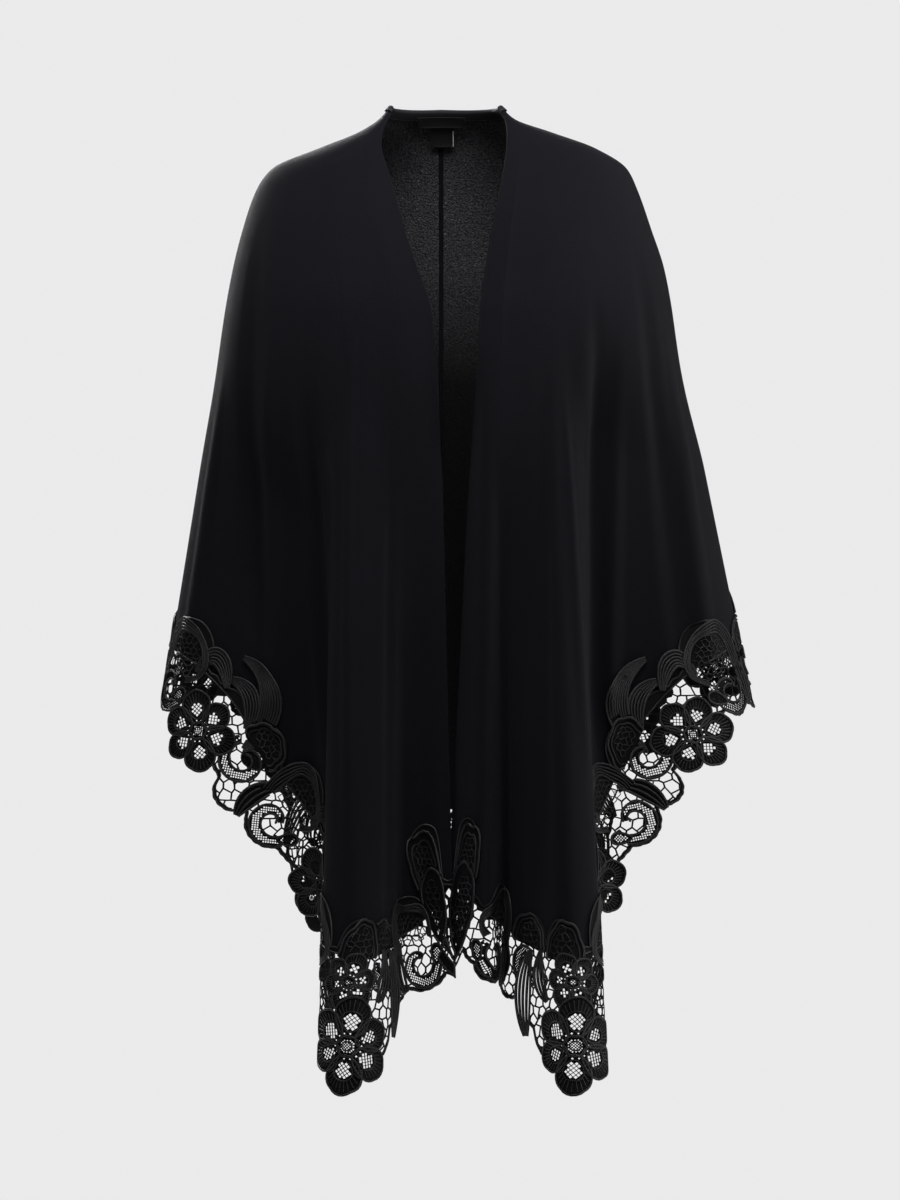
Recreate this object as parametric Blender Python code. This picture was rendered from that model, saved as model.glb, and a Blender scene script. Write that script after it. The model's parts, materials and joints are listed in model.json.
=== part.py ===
"""Knit cape, open in front: two long panels lie over the shoulders, meet in a seam down the back, and end in a
wide border of cutwork lace. Metres, +Z up, the front faces -Y. The origin is between the two neck points."""

import math

import bmesh
import bpy
import numpy as np
from mathutils.geometry import delaunay_2d_cdt

# Driving sizes
KNIT_WALL = 0.0018
LACE_WALL = 0.0012
SEAM_GAP = 0.0003
CENTRE_BACK_X = -0.009
LEAVE_LENGTH = 0.16
ROUNDNESS = 2.3
NECK_RISE_REACH = 0.03
SECTION_STEP = 0.026
HEM_STEP = 0.017
FREE_STEP = 0.026

LACE_OVERLAP = 0.012
FLOWER_RADIUS = 0.038
GROUND_PITCH = 0.0135
GROUND_BAR = 0.0028
GAPS_PER_LENGTH = 34
LACE_SPLIT = 0.0004
STRAIGHT_END = 0.05

BAND_INNER = 0.007
BAND_OUTER = 0.004
BAND_WALL = 0.0012
BAND_GAP = 0.0006

LABEL_WALL = 0.0006
MAIN_LABEL_WIDTH, MAIN_LABEL_TOP, MAIN_LABEL_END = 0.050, 0.002, 0.0125
CARE_LABEL_WIDTH, CARE_LABEL_TOP, CARE_LABEL_END = 0.027, 0.006, 0.033
CARE_LABEL_SHIFT = 0.0015

# Plan sizes by height. Half widths and front edges are distances from the origin's plane x = 0.
LEVEL_COLUMNS = ("height", "left_half", "right_half", "left_edge", "right_edge", "front", "back")
LEVELS = (
    (0.000, 0.060, 0.051, 0.0570, 0.0485, 0.010, 0.056),
    (-0.012, 0.071, 0.065, 0.0630, 0.0560, 0.022, 0.066),
    (-0.025, 0.092, 0.103, 0.0680, 0.0575, 0.034, 0.075),
    (-0.040, 0.130, 0.145, 0.0690, 0.0570, 0.046, 0.083),
    (-0.060, 0.177, 0.176, 0.0640, 0.0545, 0.060, 0.092),
    (-0.080, 0.192, 0.186, 0.0580, 0.0510, 0.073, 0.099),
    (-0.120, 0.206, 0.200, 0.0470, 0.0430, 0.097, 0.108),
    (-0.160, 0.216, 0.213, 0.0350, 0.0360, 0.115, 0.113),
    (-0.210, 0.225, 0.222, 0.0185, 0.0300, 0.131, 0.115),
    (-0.300, 0.237, 0.232, 0.0110, 0.0260, 0.141, 0.113),
    (-0.450, 0.260, 0.248, 0.0105, 0.0160, 0.146, 0.116),
    (-0.600, 0.290, 0.280, 0.0105, 0.0080, 0.150, 0.122),
    (-1.000, 0.340, 0.330, 0.0105, 0.0060, 0.155, 0.135),
)

# One row per fold line. Round is 0 at the front edge, 1 at the arm and 2 at the centre back. The line leaves the
# body's form at height start and hangs straight to (x, y) at height low. Knit is where the knit ends on it.
FOLD_COLUMNS = ("name", "round", "start", "x", "y", "low", "knit")
LEFT_FOLDS = (
    ("front edge", 0.000, -0.20, 0.0100, -0.135, -0.90, -0.765),
    ("recess inner", 0.080, -0.24, 0.0300, -0.118, -0.90, -0.805),
    ("recess outer", 0.150, -0.26, 0.0480, -0.126, -0.90, -0.815),
    ("tube inner", 0.232, -0.22, 0.0640, -0.178, -0.90, -0.822),
    ("tube crest", 0.320, -0.20, 0.0920, -0.206, -0.90, -0.830),
    ("tube outer", 0.427, -0.20, 0.1235, -0.176, -0.90, -0.820),
    ("behind tube", 0.518, -0.24, 0.1090, -0.104, -0.90, -0.752),
    ("side valley", 0.632, -0.26, 0.1270, -0.062, -0.80, -0.708),
    ("side front", 0.768, -0.24, 0.1720, -0.058, -0.70, -0.654),
    ("side crest", 0.890, -0.22, 0.2180, -0.056, -0.60, -0.585),
    ("arm front", 0.965, -0.20, 0.2620, -0.036, -0.60, -0.548),
    ("arm", 1.000, -0.20, 0.2880, 0.004, -0.60, -0.530),
    ("arm back", 1.060, -0.20, 0.2660, 0.046, -0.60, -0.517),
    ("back side", 1.160, -0.22, 0.2240, 0.078, -0.60, -0.514),
    ("back valley", 1.300, -0.26, 0.1760, 0.084, -0.75, -0.554),
    ("back fold outer", 1.420, -0.24, 0.1500, 0.146, -0.85, -0.632),
    ("back fold crest", 1.540, -0.22, 0.1120, 0.164, -0.85, -0.712),
    ("back fold inner", 1.660, -0.24, 0.0820, 0.122, -0.85, -0.732),
    ("back middle", 1.780, -0.26, 0.0540, 0.112, -0.85, -0.714),
    ("back soft fold", 1.890, -0.28, 0.0330, 0.136, -0.85, -0.698),
    ("centre back", 2.000, -0.30, 0.0090, 0.124, -0.85, -0.690),
)
RIGHT_FOLDS = (
    ("front edge", 0.000, -0.20, 0.0050, -0.138, -0.90, -0.760),
    ("strip crest", 0.050, -0.26, 0.0350, -0.170, -0.90, -0.792),
    ("strip back", 0.110, -0.28, 0.0520, -0.118, -0.90, -0.806),
    ("panel inner", 0.238, -0.26, 0.0770, -0.150, -0.90, -0.818),
    ("tube crest", 0.370, -0.22, 0.1150, -0.202, -0.90, -0.830),
    ("tube outer", 0.450, -0.20, 0.1470, -0.176, -0.90, -0.820),
    ("behind tube", 0.530, -0.22, 0.1290, -0.102, -0.90, -0.746),
    ("side valley", 0.630, -0.18, 0.1480, -0.060, -0.80, -0.694),
    ("side front", 0.750, -0.20, 0.1880, -0.056, -0.65, -0.612),
    ("side crest", 0.870, -0.22, 0.2360, -0.056, -0.60, -0.564),
    ("arm front", 0.955, -0.20, 0.2800, -0.036, -0.60, -0.541),
    ("arm", 1.000, -0.20, 0.3030, 0.004, -0.60, -0.530),
    ("arm back", 1.070, -0.20, 0.2790, 0.048, -0.60, -0.516),
    ("back side", 1.180, -0.22, 0.2180, 0.080, -0.60, -0.513),
    ("back valley", 1.310, -0.25, 0.1660, 0.086, -0.75, -0.558),
    ("back fold outer", 1.440, -0.22, 0.1400, 0.150, -0.85, -0.640),
    ("back fold crest", 1.550, -0.20, 0.1000, 0.168, -0.85, -0.716),
    ("back fold inner", 1.680, -0.24, 0.0700, 0.126, -0.85, -0.730),
    ("back middle", 1.800, -0.28, 0.0400, 0.112, -0.85, -0.710),
    ("back soft fold", 1.910, -0.30, 0.0160, 0.132, -0.85, -0.697),
    ("centre back", 2.000, -0.30, -0.0090, 0.124, -0.85, -0.690),
)


def smooth(knots, values, at):
    """A cubic through the knots, which rise, that never overshoots them."""
    at = np.clip(at, knots[0], knots[-1])
    step = np.diff(knots)
    slope = np.diff(values) / step
    m = np.empty(len(knots))
    m[0], m[-1] = slope[0], slope[-1]
    same = slope[:-1] * slope[1:] > 0
    m[1:-1] = np.where(same, 2 * slope[:-1] * slope[1:] / np.where(same, slope[:-1] + slope[1:], 1), 0)
    i = np.clip(np.searchsorted(knots, at) - 1, 0, len(knots) - 2)
    t = (at - knots[i]) / step[i]
    first = values[i] * (1 + 2 * t) * (1 - t) ** 2 + values[i + 1] * t * t * (3 - 2 * t)
    return first + step[i] * (m[i] * t * (1 - t) ** 2 + m[i + 1] * t * t * (t - 1))


def picked(rows, i):
    """For each point, the entry of the row whose number is in i."""
    return np.take_along_axis(rows, i[None, ..., None], 0)[0]


class Panel:
    """One panel as a surface: line number p runs from the front edge to the centre back, z is the height."""

    def __init__(self, side, folds):
        self.side = side
        self.sign = -1 if side == "left" else 1
        self.seam_x = self.sign * CENTRE_BACK_X + SEAM_GAP / 2
        table = np.array(LEVELS)[::-1]
        self.levels = dict(zip(LEVEL_COLUMNS, table.T))
        self.folds = [dict(zip(FOLD_COLUMNS, row)) for row in folds]
        self.count = len(folds)
        self.rounds = np.array([row["round"] for row in self.folds])
        self.knits = np.array([row["knit"] for row in self.folds])
        self.lay_flat()

    def level(self, column, z):
        return smooth(self.levels["height"], self.levels[column], z)

    def form(self, turn, z):
        """The body's own form in plan: a rounded section from the front edge round the arm to the centre back."""
        half = self.level(f"{self.side}_half", z)
        front = turn <= 1
        inner = self.level(f"{self.side}_edge", z) if front else self.seam_x + 0 * half
        share = turn if front else 2 - turn
        depth = -self.level("front", z) if front else self.level("back", z)
        x = inner + (half - inner) * share
        y = depth * (1 - share**ROUNDNESS) ** (1 / ROUNDNESS)
        return np.stack([x, y], -1)

    def line(self, row, z):
        """A fold line in plan: on the form at the top, straight down to its hem point below."""
        left_at = self.form(row["round"], np.array(row["start"]))
        low = np.array([self.seam_x if row["round"] == 2 else row["x"], row["y"]])
        run = ((row["start"] - z) / (row["start"] - row["low"]))[..., None]
        straight = left_at + (low - left_at) * run
        r = np.clip((row["start"] - z) / LEAVE_LENGTH, 0, 1)[..., None]
        r = r * r * (3 - 2 * r)
        return self.form(row["round"], z) * (1 - r) + straight * r

    def at(self, p, z):
        """Points of the surface, as an array of (x, y, z)."""
        p, z = np.broadcast_arrays(np.asarray(p, float), np.asarray(z, float))
        q = np.stack([self.line(row, np.minimum(z, 0)) for row in self.folds])
        i = np.clip(np.floor(p).astype(int), 0, self.count - 2)
        t = (p - i)[..., None]
        chord = np.linalg.norm(np.diff(q, axis=0), axis=-1)[..., None] + 1e-9
        m = np.empty_like(q)
        m[0], m[-1] = (q[1] - q[0]) / chord[0], (q[-1] - q[-2]) / chord[-1]
        m[1:-1] = (q[2:] - q[:-2]) / (chord[1:] + chord[:-1])
        m[-1, ..., 1] = 0
        a, b, c = picked(q, i), picked(q, i + 1), picked(chord, i)
        ma, mb = picked(m, i) * c, picked(m, i + 1) * c
        plan = a * (1 + 2 * t) * (1 - t) ** 2 + b * t * t * (3 - 2 * t)
        plan = plan + ma * t * (1 - t) ** 2 + mb * t * t * (t - 1)
        turn = np.interp(p, np.arange(self.count), self.rounds)
        rise = 0.0015 - 0.0025 * np.clip(1 - turn, 0, 1) ** 1.5 + 0.0020 * np.clip(turn - 1, 0, 1)
        height = z + rise * np.exp(z / NECK_RISE_REACH)
        return np.stack([self.sign * plan[..., 0], plan[..., 1], height], -1)

    def normal(self, p, z):
        """Unit normals that face away from the body."""
        top, end, e = 1e-3, self.count - 1, 2e-3
        along = self.at(np.clip(p + e, 0, end), z) - self.at(np.clip(p - e, 0, end), z)
        down = self.at(p, np.minimum(z, -top) - e) - self.at(p, np.minimum(z, -top) + top)
        n = np.cross(down, along) * self.sign
        n[p > end - 1e-6, 0] = 0
        return n / np.linalg.norm(n, axis=-1, keepdims=True)

    def knit_at(self, p):
        return smooth(np.arange(self.count, dtype=float), self.knits, p)

    def lay_flat(self):
        """Flat coordinates: X is the length along the knit's end from the front edge, Z stays the height."""
        self.fine = np.linspace(0, self.count - 1, 60 * (self.count - 1) + 1)
        hem = self.knit_at(self.fine)
        a, b = self.at(self.fine[:-1], hem[:-1]), self.at(self.fine[1:], hem[:-1])
        self.across = np.concatenate([[0], np.cumsum(np.linalg.norm(b - a, axis=-1))])
        self.width = self.across[-1]
        step = np.hypot(np.diff(self.across), np.diff(hem))
        self.reach = np.concatenate([[0], np.cumsum(step)])
        self.length = self.reach[-1]
        grid = np.linspace(0, self.length, 400)
        x, z = np.interp(grid, self.reach, self.across), np.interp(grid, self.reach, hem)
        tx, tz = np.gradient(x), np.gradient(z)
        soft = np.hanning(61) / np.hanning(61).sum()
        tx, tz = (np.convolve(np.pad(v, 30, mode="edge"), soft, "valid") for v in (tx, tz))
        tz = tz * np.clip(np.minimum(grid, self.length - grid) / STRAIGHT_END, 0, 1)
        size = np.hypot(tx, tz)
        self.hem = (grid, x, z, tz / size, -tx / size)

    def line_of(self, across):
        return np.interp(across, self.across, self.fine)

    def strip(self, s, t):
        """The lace's own coordinates, s along the knit's end and t out past it, to flat ones."""
        grid, x, z, nx, nz = self.hem
        s, t = np.asarray(s, float), np.asarray(t, float)
        fx = np.interp(s, grid, x) + t * np.interp(s, grid, nx)
        return np.stack([np.clip(fx, 0, self.width), np.interp(s, grid, z) + t * np.interp(s, grid, nz)], -1)


# Lace layout. Flowers are set out along the knit's end by their distance from the front edge and their drop below it.
FLOWER_COLUMNS = ("along", "drop")
LEFT_FLOWERS = ((0.157, 0.093), (0.305, 0.044), (0.500, 0.046), (0.690, 0.044), (0.855, 0.044), (0.985, 0.078))
RIGHT_FLOWERS = ((0.200, 0.093), (0.345, 0.044), (0.530, 0.046), (0.725, 0.044), (0.900, 0.044), (1.035, 0.078))


def inside(points, ring):
    """Which points lie in a closed ring of (x, z)."""
    x, z = points[:, 0][:, None], points[:, 1][:, None]
    a, b = ring, np.roll(ring, -1, 0)
    cross = (a[:, 1] > z) != (b[:, 1] > z)
    rise = np.where(b[:, 1] == a[:, 1], 1, b[:, 1] - a[:, 1])
    return (cross & (x < a[:, 0] + (z - a[:, 1]) * (b[:, 0] - a[:, 0]) / rise)).sum(1) % 2 == 1


def away(points, path):
    """Each point's distance from a path of (x, z)."""
    a, d = path[:-1], np.diff(path, axis=0)
    rel = points[:, None] - a
    t = np.clip((rel * d).sum(-1) / np.maximum((d * d).sum(-1), 1e-12), 0, 1)
    return np.linalg.norm(rel - t[..., None] * d, axis=-1).min(1)


def closed(ring):
    return np.concatenate([ring, ring[:1]])


class Lace:
    """The border of one panel, laid out flat: its outline, its motifs and the gaps between them."""

    def __init__(self, panel, flowers):
        self.panel, self.flowers = panel, np.array(flowers)
        ends = np.concatenate([[0.0], self.flowers[:, 0], [panel.length]])
        self.between = [(a, b) for a, b in zip(ends, ends[1:])]
        self.lobes = []
        for along, drop in flowers:
            for turn in (-10, 35, 90, 145, 190):
                reach = 0.62 * FLOWER_RADIUS
                x, z = reach * math.cos(math.radians(turn)), reach * math.sin(math.radians(turn))
                self.lobes.append((along + x, drop + z, 0.40 * FLOWER_RADIUS))
            if drop > 0.07:
                self.lobes += [(along - 0.030, 0.072, 0.020), (along + 0.034, 0.070, 0.020)]
        # What climbs up over the knit: a pod over each flower and at each end, and a leaf and a scroll between them
        self.pods = [(0.019, 0.054, 0.018), (panel.length - 0.019, 0.050, 0.018)]
        self.pods += [(along - 0.006, 0.052, 0.020) for along, _ in flowers]
        for a, b in self.between:
            if b - a > 0.1:
                self.lobes += [(a + 0.40 * (b - a), 0.040, 0.022), (a + 0.62 * (b - a), 0.046, 0.019)]
                self.pods += [(a + 0.40 * (b - a), 0.038, 0.034), (a + 0.72 * (b - a), 0.026, 0.027)]

    def depth(self, s):
        """How far the border reaches out past the knit's end."""
        out = np.full(np.shape(s), 0.050)
        for along, drop, radius in self.lobes:
            near = np.abs(s - along) < radius
            bulge = drop + np.sqrt(np.maximum(radius**2 - (s - along) ** 2, 0))
            out = np.where(near, np.maximum(out, bulge), out)
        return out

    def rise(self, s):
        """How far the border climbs up over the knit."""
        up = LACE_OVERLAP + 0.003 * np.sin(s / 0.0071) ** 2
        for along, height, half in self.pods:
            lobe = height * np.sqrt(np.maximum(1 - ((s - along) / half) ** 2, 0))
            up = np.maximum(up, lobe)
        return up

    def outline(self, start, end, step=0.0068):
        s = np.linspace(start, end, max(4, round((end - start) / step)) + 1)
        return np.concatenate([self.panel.strip(s, -self.rise(s)), self.panel.strip(s, self.depth(s))[::-1]])

    def motifs(self):
        """Closed rings of solid work: flowers, and a curved leaf on each side of a pod."""
        turn = np.linspace(0, 2 * math.pi, 12, endpoint=False)
        round_it = np.stack([np.cos(turn), np.sin(turn)], -1)
        rings = [self.panel.strip(s, t) + (FLOWER_RADIUS - 0.001) * round_it for s, t in self.flowers]
        for a, b in self.between:
            if b - a > 0.1:
                mid = a + 0.50 * (b - a)
                spine = np.linspace(0, 1, 5)
                s = mid + 0.016 * np.sin(math.pi * spine)
                t = 0.002 + 0.046 * spine
                wide = 0.004 + 0.006 * np.sin(math.pi * spine)
                rings.append(
                    np.concatenate([self.panel.strip(s - wide, t), self.panel.strip(s + wide, t)[::-1]])
                )
        return rings

    def gaps(self, outline, limit):
        """Six-sided gaps of a slightly uneven ground net, the largest kept first."""
        panel = self.panel
        solid = self.motifs()
        hem = panel.strip(np.linspace(0, panel.length, 160), 0)
        low, high = outline.min(0), outline.max(0)
        pitch, found = GROUND_PITCH, []
        unit = np.array([pitch / 2, pitch / math.sqrt(12)])
        for row in range(int((high[1] - low[1]) / (3 * unit[1])) + 2):
            for column in range(int((high[0] - low[0]) / pitch) + 2):
                centre = unit * np.array([2 * column + row % 2, 3 * row])
                corners = []
                for k in range(6):
                    turn = math.radians(60 * k + 30)
                    at = centre + 2 * unit[1] * np.array([math.cos(turn), math.sin(turn)])
                    key = np.round(at / unit)
                    noise = np.sin(key[0] * 12.9898 + key[1] * 78.233 + np.array([0.0, 2.4])) * 43758.5453
                    corners.append(low + at + 0.34 * pitch * ((noise % 1.0) - 0.5))
                ring = np.array(corners)
                middle = ring.mean(0)
                spread = ring - middle
                size = np.linalg.norm(spread, axis=1)
                ring = middle + spread * (1 - 0.58 * GROUND_BAR / size)[:, None]
                found.append((size.min(), ring))
        rings = np.array([ring for _, ring in found])
        flat = rings.reshape(-1, 2)
        good = inside(flat, outline) & (away(flat, closed(outline)) > 0.0032)
        knit = np.concatenate([hem, [[panel.width, 0.0], [0.0, 0.0]]])
        good &= ~inside(flat, knit) & (away(flat, hem) > 0.0026)
        for ring in solid:
            good &= ~inside(flat, ring) & (away(flat, closed(ring)) > 0.0006)
        whole = good.reshape(-1, 6).all(1)
        kept = sorted((f for f, ok in zip(found, whole) if ok), key=lambda f: -f[0])[:limit]
        return [ring for _, ring in kept]


def thicken(name, points, normals, triangles, inner, outer, material):
    """A closed wall over the triangles, from inner to outer along the normals."""
    used, index = np.unique(triangles, return_inverse=True)
    triangles = index.reshape(-1, 3)
    mesh = bmesh.new()
    low = [mesh.verts.new(v) for v in points[used] + inner * normals[used]]
    high = [mesh.verts.new(v) for v in points[used] + outer * normals[used]]
    edges = {}
    for a, b, c in triangles:
        mesh.faces.new((high[a], high[b], high[c]))
        mesh.faces.new((low[c], low[b], low[a]))
        for pair in ((a, b), (b, c), (c, a)):
            edges[pair] = edges.get(pair, 0) + 1
    for a, b in edges:
        if (b, a) not in edges:
            mesh.faces.new((high[b], high[a], low[a], low[b]))
    return finish(name, mesh, material)


def finish(name, mesh, material):
    """The mesh as an object, faces out, smooth over its gentle bends."""
    bmesh.ops.recalc_face_normals(mesh, faces=mesh.faces)
    data = bpy.data.meshes.new(name)
    mesh.to_mesh(data)
    mesh.free()
    data.materials.append(material)
    data.shade_smooth()
    data.set_sharp_from_angle(angle=math.radians(50))
    part = bpy.data.objects.new(name, data)
    collection.objects.link(part)
    return part


def make_material(name, colour, roughness):
    material = bpy.data.materials.new(name)
    material.use_nodes = True
    surface = material.node_tree.nodes["Principled BSDF"]
    surface.inputs["Base Color"].default_value = (*colour, 1)
    surface.inputs["Roughness"].default_value = roughness
    surface.inputs["Metallic"].default_value = 0
    return material


def columns_of(panel):
    """Line numbers of the wall's upright columns, closer where the folds are."""
    edges = np.interp(np.arange(panel.count), panel.fine, panel.across)
    steps = [max(1, round(w / SECTION_STEP)) for w in np.diff(edges)]
    return np.concatenate([i + np.arange(n) / n for i, n in enumerate(steps)] + [[panel.count - 1]])


ROWS = (0, -0.006, -0.012, -0.022, -0.033, -0.046, -0.060, -0.080, -0.105, -0.135, -0.17, -0.21, -0.26, -0.31)
NECK_ROWS = -0.07
ROWS += (-0.37, -0.44, -0.51, -0.58, -0.65, -0.72, -0.78)


def wall_grid(panel):
    """Flat points of the wall, with fewer columns near the neck, where they crowd together."""
    columns = columns_of(panel)
    rows = []
    for z in ROWS:
        keep = columns[::2] if z > NECK_ROWS else columns
        keep = np.append(keep[keep < columns[-1] - 0.4], columns[-1])
        rows.append(np.stack([np.interp(keep, panel.fine, panel.across), np.full(len(keep), z)], -1))
    return rows


def build_side(side, folds, flowers, limit):
    """One panel and its three lengths of lace, cut from one set of triangles so that they nest."""
    panel = Panel(side, folds)
    lace = Lace(panel, flowers)
    rows = wall_grid(panel)
    s = np.linspace(0, panel.length, round(panel.length / HEM_STEP) + 1)
    hem = panel.strip(s, 0)
    front = np.array([[0.0, z] for z in ROWS[1:] if z > hem[0, 1] + 0.006])
    back = np.array([[panel.width, z] for z in ROWS[1:] if z > hem[-1, 1] + 0.006])
    knit = np.concatenate([rows[0], back, hem[::-1], front[::-1]])
    cuts = (0.0, flowers[0][0] + 0.068, flowers[-1][0] - 0.066, panel.length)
    half = LACE_SPLIT / 2
    outlines, rings = [], []
    for k, name in enumerate(("front", "side", "back")):
        a, b = cuts[k] + half * (k > 0), cuts[k + 1] - half * (k < 2)
        outline = lace.outline(a, b)
        outlines.append((f"lace_{side}_{name}", outline))
        rings.append(lace.gaps(outline, round(limit * (b - a) / panel.length)))
    loops = [knit] + [outline for _, outline in outlines] + [ring for node in rings for ring in node]
    points, edges = [], []
    for loop in loops:
        first = len(points)
        points += list(loop)
        edges += [(first + i, first + (i + 1) % len(loop)) for i in range(len(loop))]
    for row in rows[1:]:
        if row[0, 1] > 2 * NECK_ROWS:
            first = len(points)
            points += list(row)
            edges += [(first + i, first + i + 1) for i in range(len(row) - 1)]
    paths = [closed(loop) for loop in loops]
    spare = np.concatenate([row[1:-1] for row in rows if row[0, 1] <= 2 * NECK_ROWS])
    spare = spare[inside(spare, knit)]
    low, high = hem.min(0) - 0.15, hem.max(0) + 0.03
    across, up = np.arange(low[0], high[0], FREE_STEP), np.arange(low[1], high[1], FREE_STEP)
    net = np.stack(np.meshgrid(across, up), -1).reshape(-1, 2)
    net = net[np.any([inside(net, outline) for _, outline in outlines], axis=0) & ~inside(net, knit)]
    spare = np.concatenate([spare, net])
    for path in paths:
        spare = spare[away(spare, path) > 0.0055]
    points += list(spare)
    flat, _, faces, _, _, _ = delaunay_2d_cdt([tuple(v) for v in points], edges, [], 0, 1e-6, False)
    flat, faces = np.array([tuple(v) for v in flat]), np.array([list(f) for f in faces])
    centre = flat[faces].mean(1)
    p = panel.line_of(flat[:, 0])
    solid, out = panel.at(p, flat[:, 1]), panel.normal(p, flat[:, 1])
    wool = make_material(f"{side} knit", (0.012, 0.012, 0.014), 0.9)
    wall = KNIT_WALL / 2
    thicken(f"{side}_panel", solid, out, faces[inside(centre, knit)], -wall, wall, wool)
    low = wall + SEAM_GAP
    count = 0
    for (name, outline), node in zip(outlines, rings):
        keep = inside(centre, outline)
        for ring in node:
            keep &= ~inside(centre, ring)
        count += len(node)
        thread = make_material(name.replace("_", " "), (0.010, 0.010, 0.012), 0.6)
        thicken(name, solid, out, faces[keep], low, low + LACE_WALL, thread)
    print(side, "gaps", count, "width", round(panel.width, 3), "length", round(panel.length, 3))
    return panel


def strip_of(rings, name, material):
    """A closed strip through rings of points, one ring for each station along it."""
    mesh = bmesh.new()
    verts = [[mesh.verts.new(v) for v in ring] for ring in rings]
    for a, b in zip(verts, verts[1:]):
        for k in range(len(a)):
            mesh.faces.new((a[k], b[k], b[k - 1], a[k - 1]))
    mesh.faces.new(verts[0])
    mesh.faces.new(verts[-1][::-1])
    return finish(name, mesh, material)


def build_neck_band(left, right):
    """The binding round the neck edge: a deep leg inside, a short leg outside, and a fold over the top."""
    stations = []
    for panel in (left, right):
        columns = columns_of(panel)[::2]
        keep = np.append(columns[columns < panel.count - 1.4], panel.count - 1)
        stations += [(panel, p) for p in (keep if panel is left else keep[-2::-1])]
    rings = []
    near = KNIT_WALL / 2 + BAND_GAP
    far = near + BAND_WALL
    for panel, p in stations:
        p = np.array([p])
        top, outer, inner = (panel.at(p, np.array([-d]))[0] for d in (0.0, BAND_OUTER, BAND_INNER))
        n0, n1, n2 = (panel.normal(p, np.array([-d]))[0] for d in (0.0, BAND_OUTER, BAND_INNER))
        up = (top - outer) / np.linalg.norm(top - outer)
        low_mid, low_n = panel.at(p, np.array([-BAND_OUTER]))[0], n1
        ring = [outer + near * n1, top + near * n0 + BAND_GAP * up, top - near * n0 + BAND_GAP * up]
        ring += [low_mid - near * low_n, inner - near * n2, inner - far * n2, low_mid - far * low_n]
        lid = BAND_GAP + BAND_WALL
        ring += [top - far * n0 + lid * up, top + far * n0 + lid * up, outer + far * n1]
        rings.append(ring)
    return strip_of(rings, "neck_band", make_material("neck band", (0.014, 0.014, 0.016), 0.75))


def across_back(left, right, offset, depth):
    """A point on the inside of the back and its normal: offset from the seam along x, depth below the neck edge."""
    panel = left if offset < 0 else right
    z = np.array([-depth])
    half = panel.level(f"{panel.side}_half", z)[0]
    turn = 2 - abs(offset) / (half - panel.seam_x)
    p = np.interp([turn], panel.rounds, np.arange(panel.count))
    return panel.at(p, z)[0], panel.normal(p, z)[0]


def build_label(left, right, name, width, top, end, clear, shift, colour):
    """A bare cloth label on the inside of the back neck, bent round it."""
    rings = []
    for offset in np.linspace(-width / 2, width / 2, 7) + shift:
        face, back = [], []
        for depth in np.linspace(top, end, 4):
            point, out = across_back(left, right, offset, depth)
            face.append(point - clear * out)
            back.append(point - (clear + LABEL_WALL) * out)
        rings.append(face + back[::-1])
    return strip_of(rings, name, make_material(name.replace("_", " "), colour, 0.7))


for old in list(bpy.data.objects):
    bpy.data.objects.remove(old, do_unlink=True)
collection = bpy.data.collections.new("knit_cape")
bpy.context.scene.collection.children.link(collection)
left = build_side("left", LEFT_FOLDS, LEFT_FLOWERS, GAPS_PER_LENGTH * 3)
right = build_side("right", RIGHT_FOLDS, RIGHT_FLOWERS, GAPS_PER_LENGTH * 3)
build_neck_band(left, right)
care_clear = KNIT_WALL / 2 + BAND_GAP + BAND_WALL + SEAM_GAP
main_clear = care_clear + LABEL_WALL + SEAM_GAP
care = (CARE_LABEL_WIDTH, CARE_LABEL_TOP, CARE_LABEL_END, care_clear + 0.0002, CARE_LABEL_SHIFT)
main = (MAIN_LABEL_WIDTH, MAIN_LABEL_TOP, MAIN_LABEL_END, main_clear + 0.0004, 0.0)
build_label(left, right, "care_label", *care, (0.015, 0.015, 0.016))
build_label(left, right, "main_label", *main, (0.012, 0.012, 0.013))
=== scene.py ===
"""Knit cape: two long panels of fine black knit, open in front, with a wide border of cutwork lace.

The cape hangs as it does on the shoulders. Metres, +Z up, the front faces -Y.
"""

import json
import math

import bpy
import numpy as np
from bpy.props import FloatProperty, FloatVectorProperty, IntProperty, PointerProperty
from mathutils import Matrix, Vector
from mathutils.geometry import delaunay_2d_cdt
from mathutils.kdtree import KDTree

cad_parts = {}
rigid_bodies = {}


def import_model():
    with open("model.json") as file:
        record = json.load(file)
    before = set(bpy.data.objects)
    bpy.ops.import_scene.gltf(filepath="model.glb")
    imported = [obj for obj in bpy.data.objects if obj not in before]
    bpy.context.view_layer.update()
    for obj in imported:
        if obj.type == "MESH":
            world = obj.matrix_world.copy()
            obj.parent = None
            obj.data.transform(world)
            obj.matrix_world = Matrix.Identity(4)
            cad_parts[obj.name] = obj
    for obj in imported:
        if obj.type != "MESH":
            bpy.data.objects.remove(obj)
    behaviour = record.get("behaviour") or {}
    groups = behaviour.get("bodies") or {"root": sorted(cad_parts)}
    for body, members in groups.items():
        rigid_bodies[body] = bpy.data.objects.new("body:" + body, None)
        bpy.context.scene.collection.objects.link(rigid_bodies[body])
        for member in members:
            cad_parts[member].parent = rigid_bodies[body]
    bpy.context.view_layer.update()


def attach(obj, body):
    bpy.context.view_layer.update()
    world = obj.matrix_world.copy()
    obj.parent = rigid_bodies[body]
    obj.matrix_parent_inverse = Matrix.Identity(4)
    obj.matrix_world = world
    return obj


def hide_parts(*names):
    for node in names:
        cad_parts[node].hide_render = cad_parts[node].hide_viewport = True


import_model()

bl_info = {
    "name": "Knit cape with a lace border",
    "version": (1, 0, 0),
    "blender": (4, 5, 0),
    "location": "3D View > Sidebar > Cape",
    "description": "Makes the cloth, lace, neck band and labels of an open-front knit cape, and its studio",
    "category": "Object",
}

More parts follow.
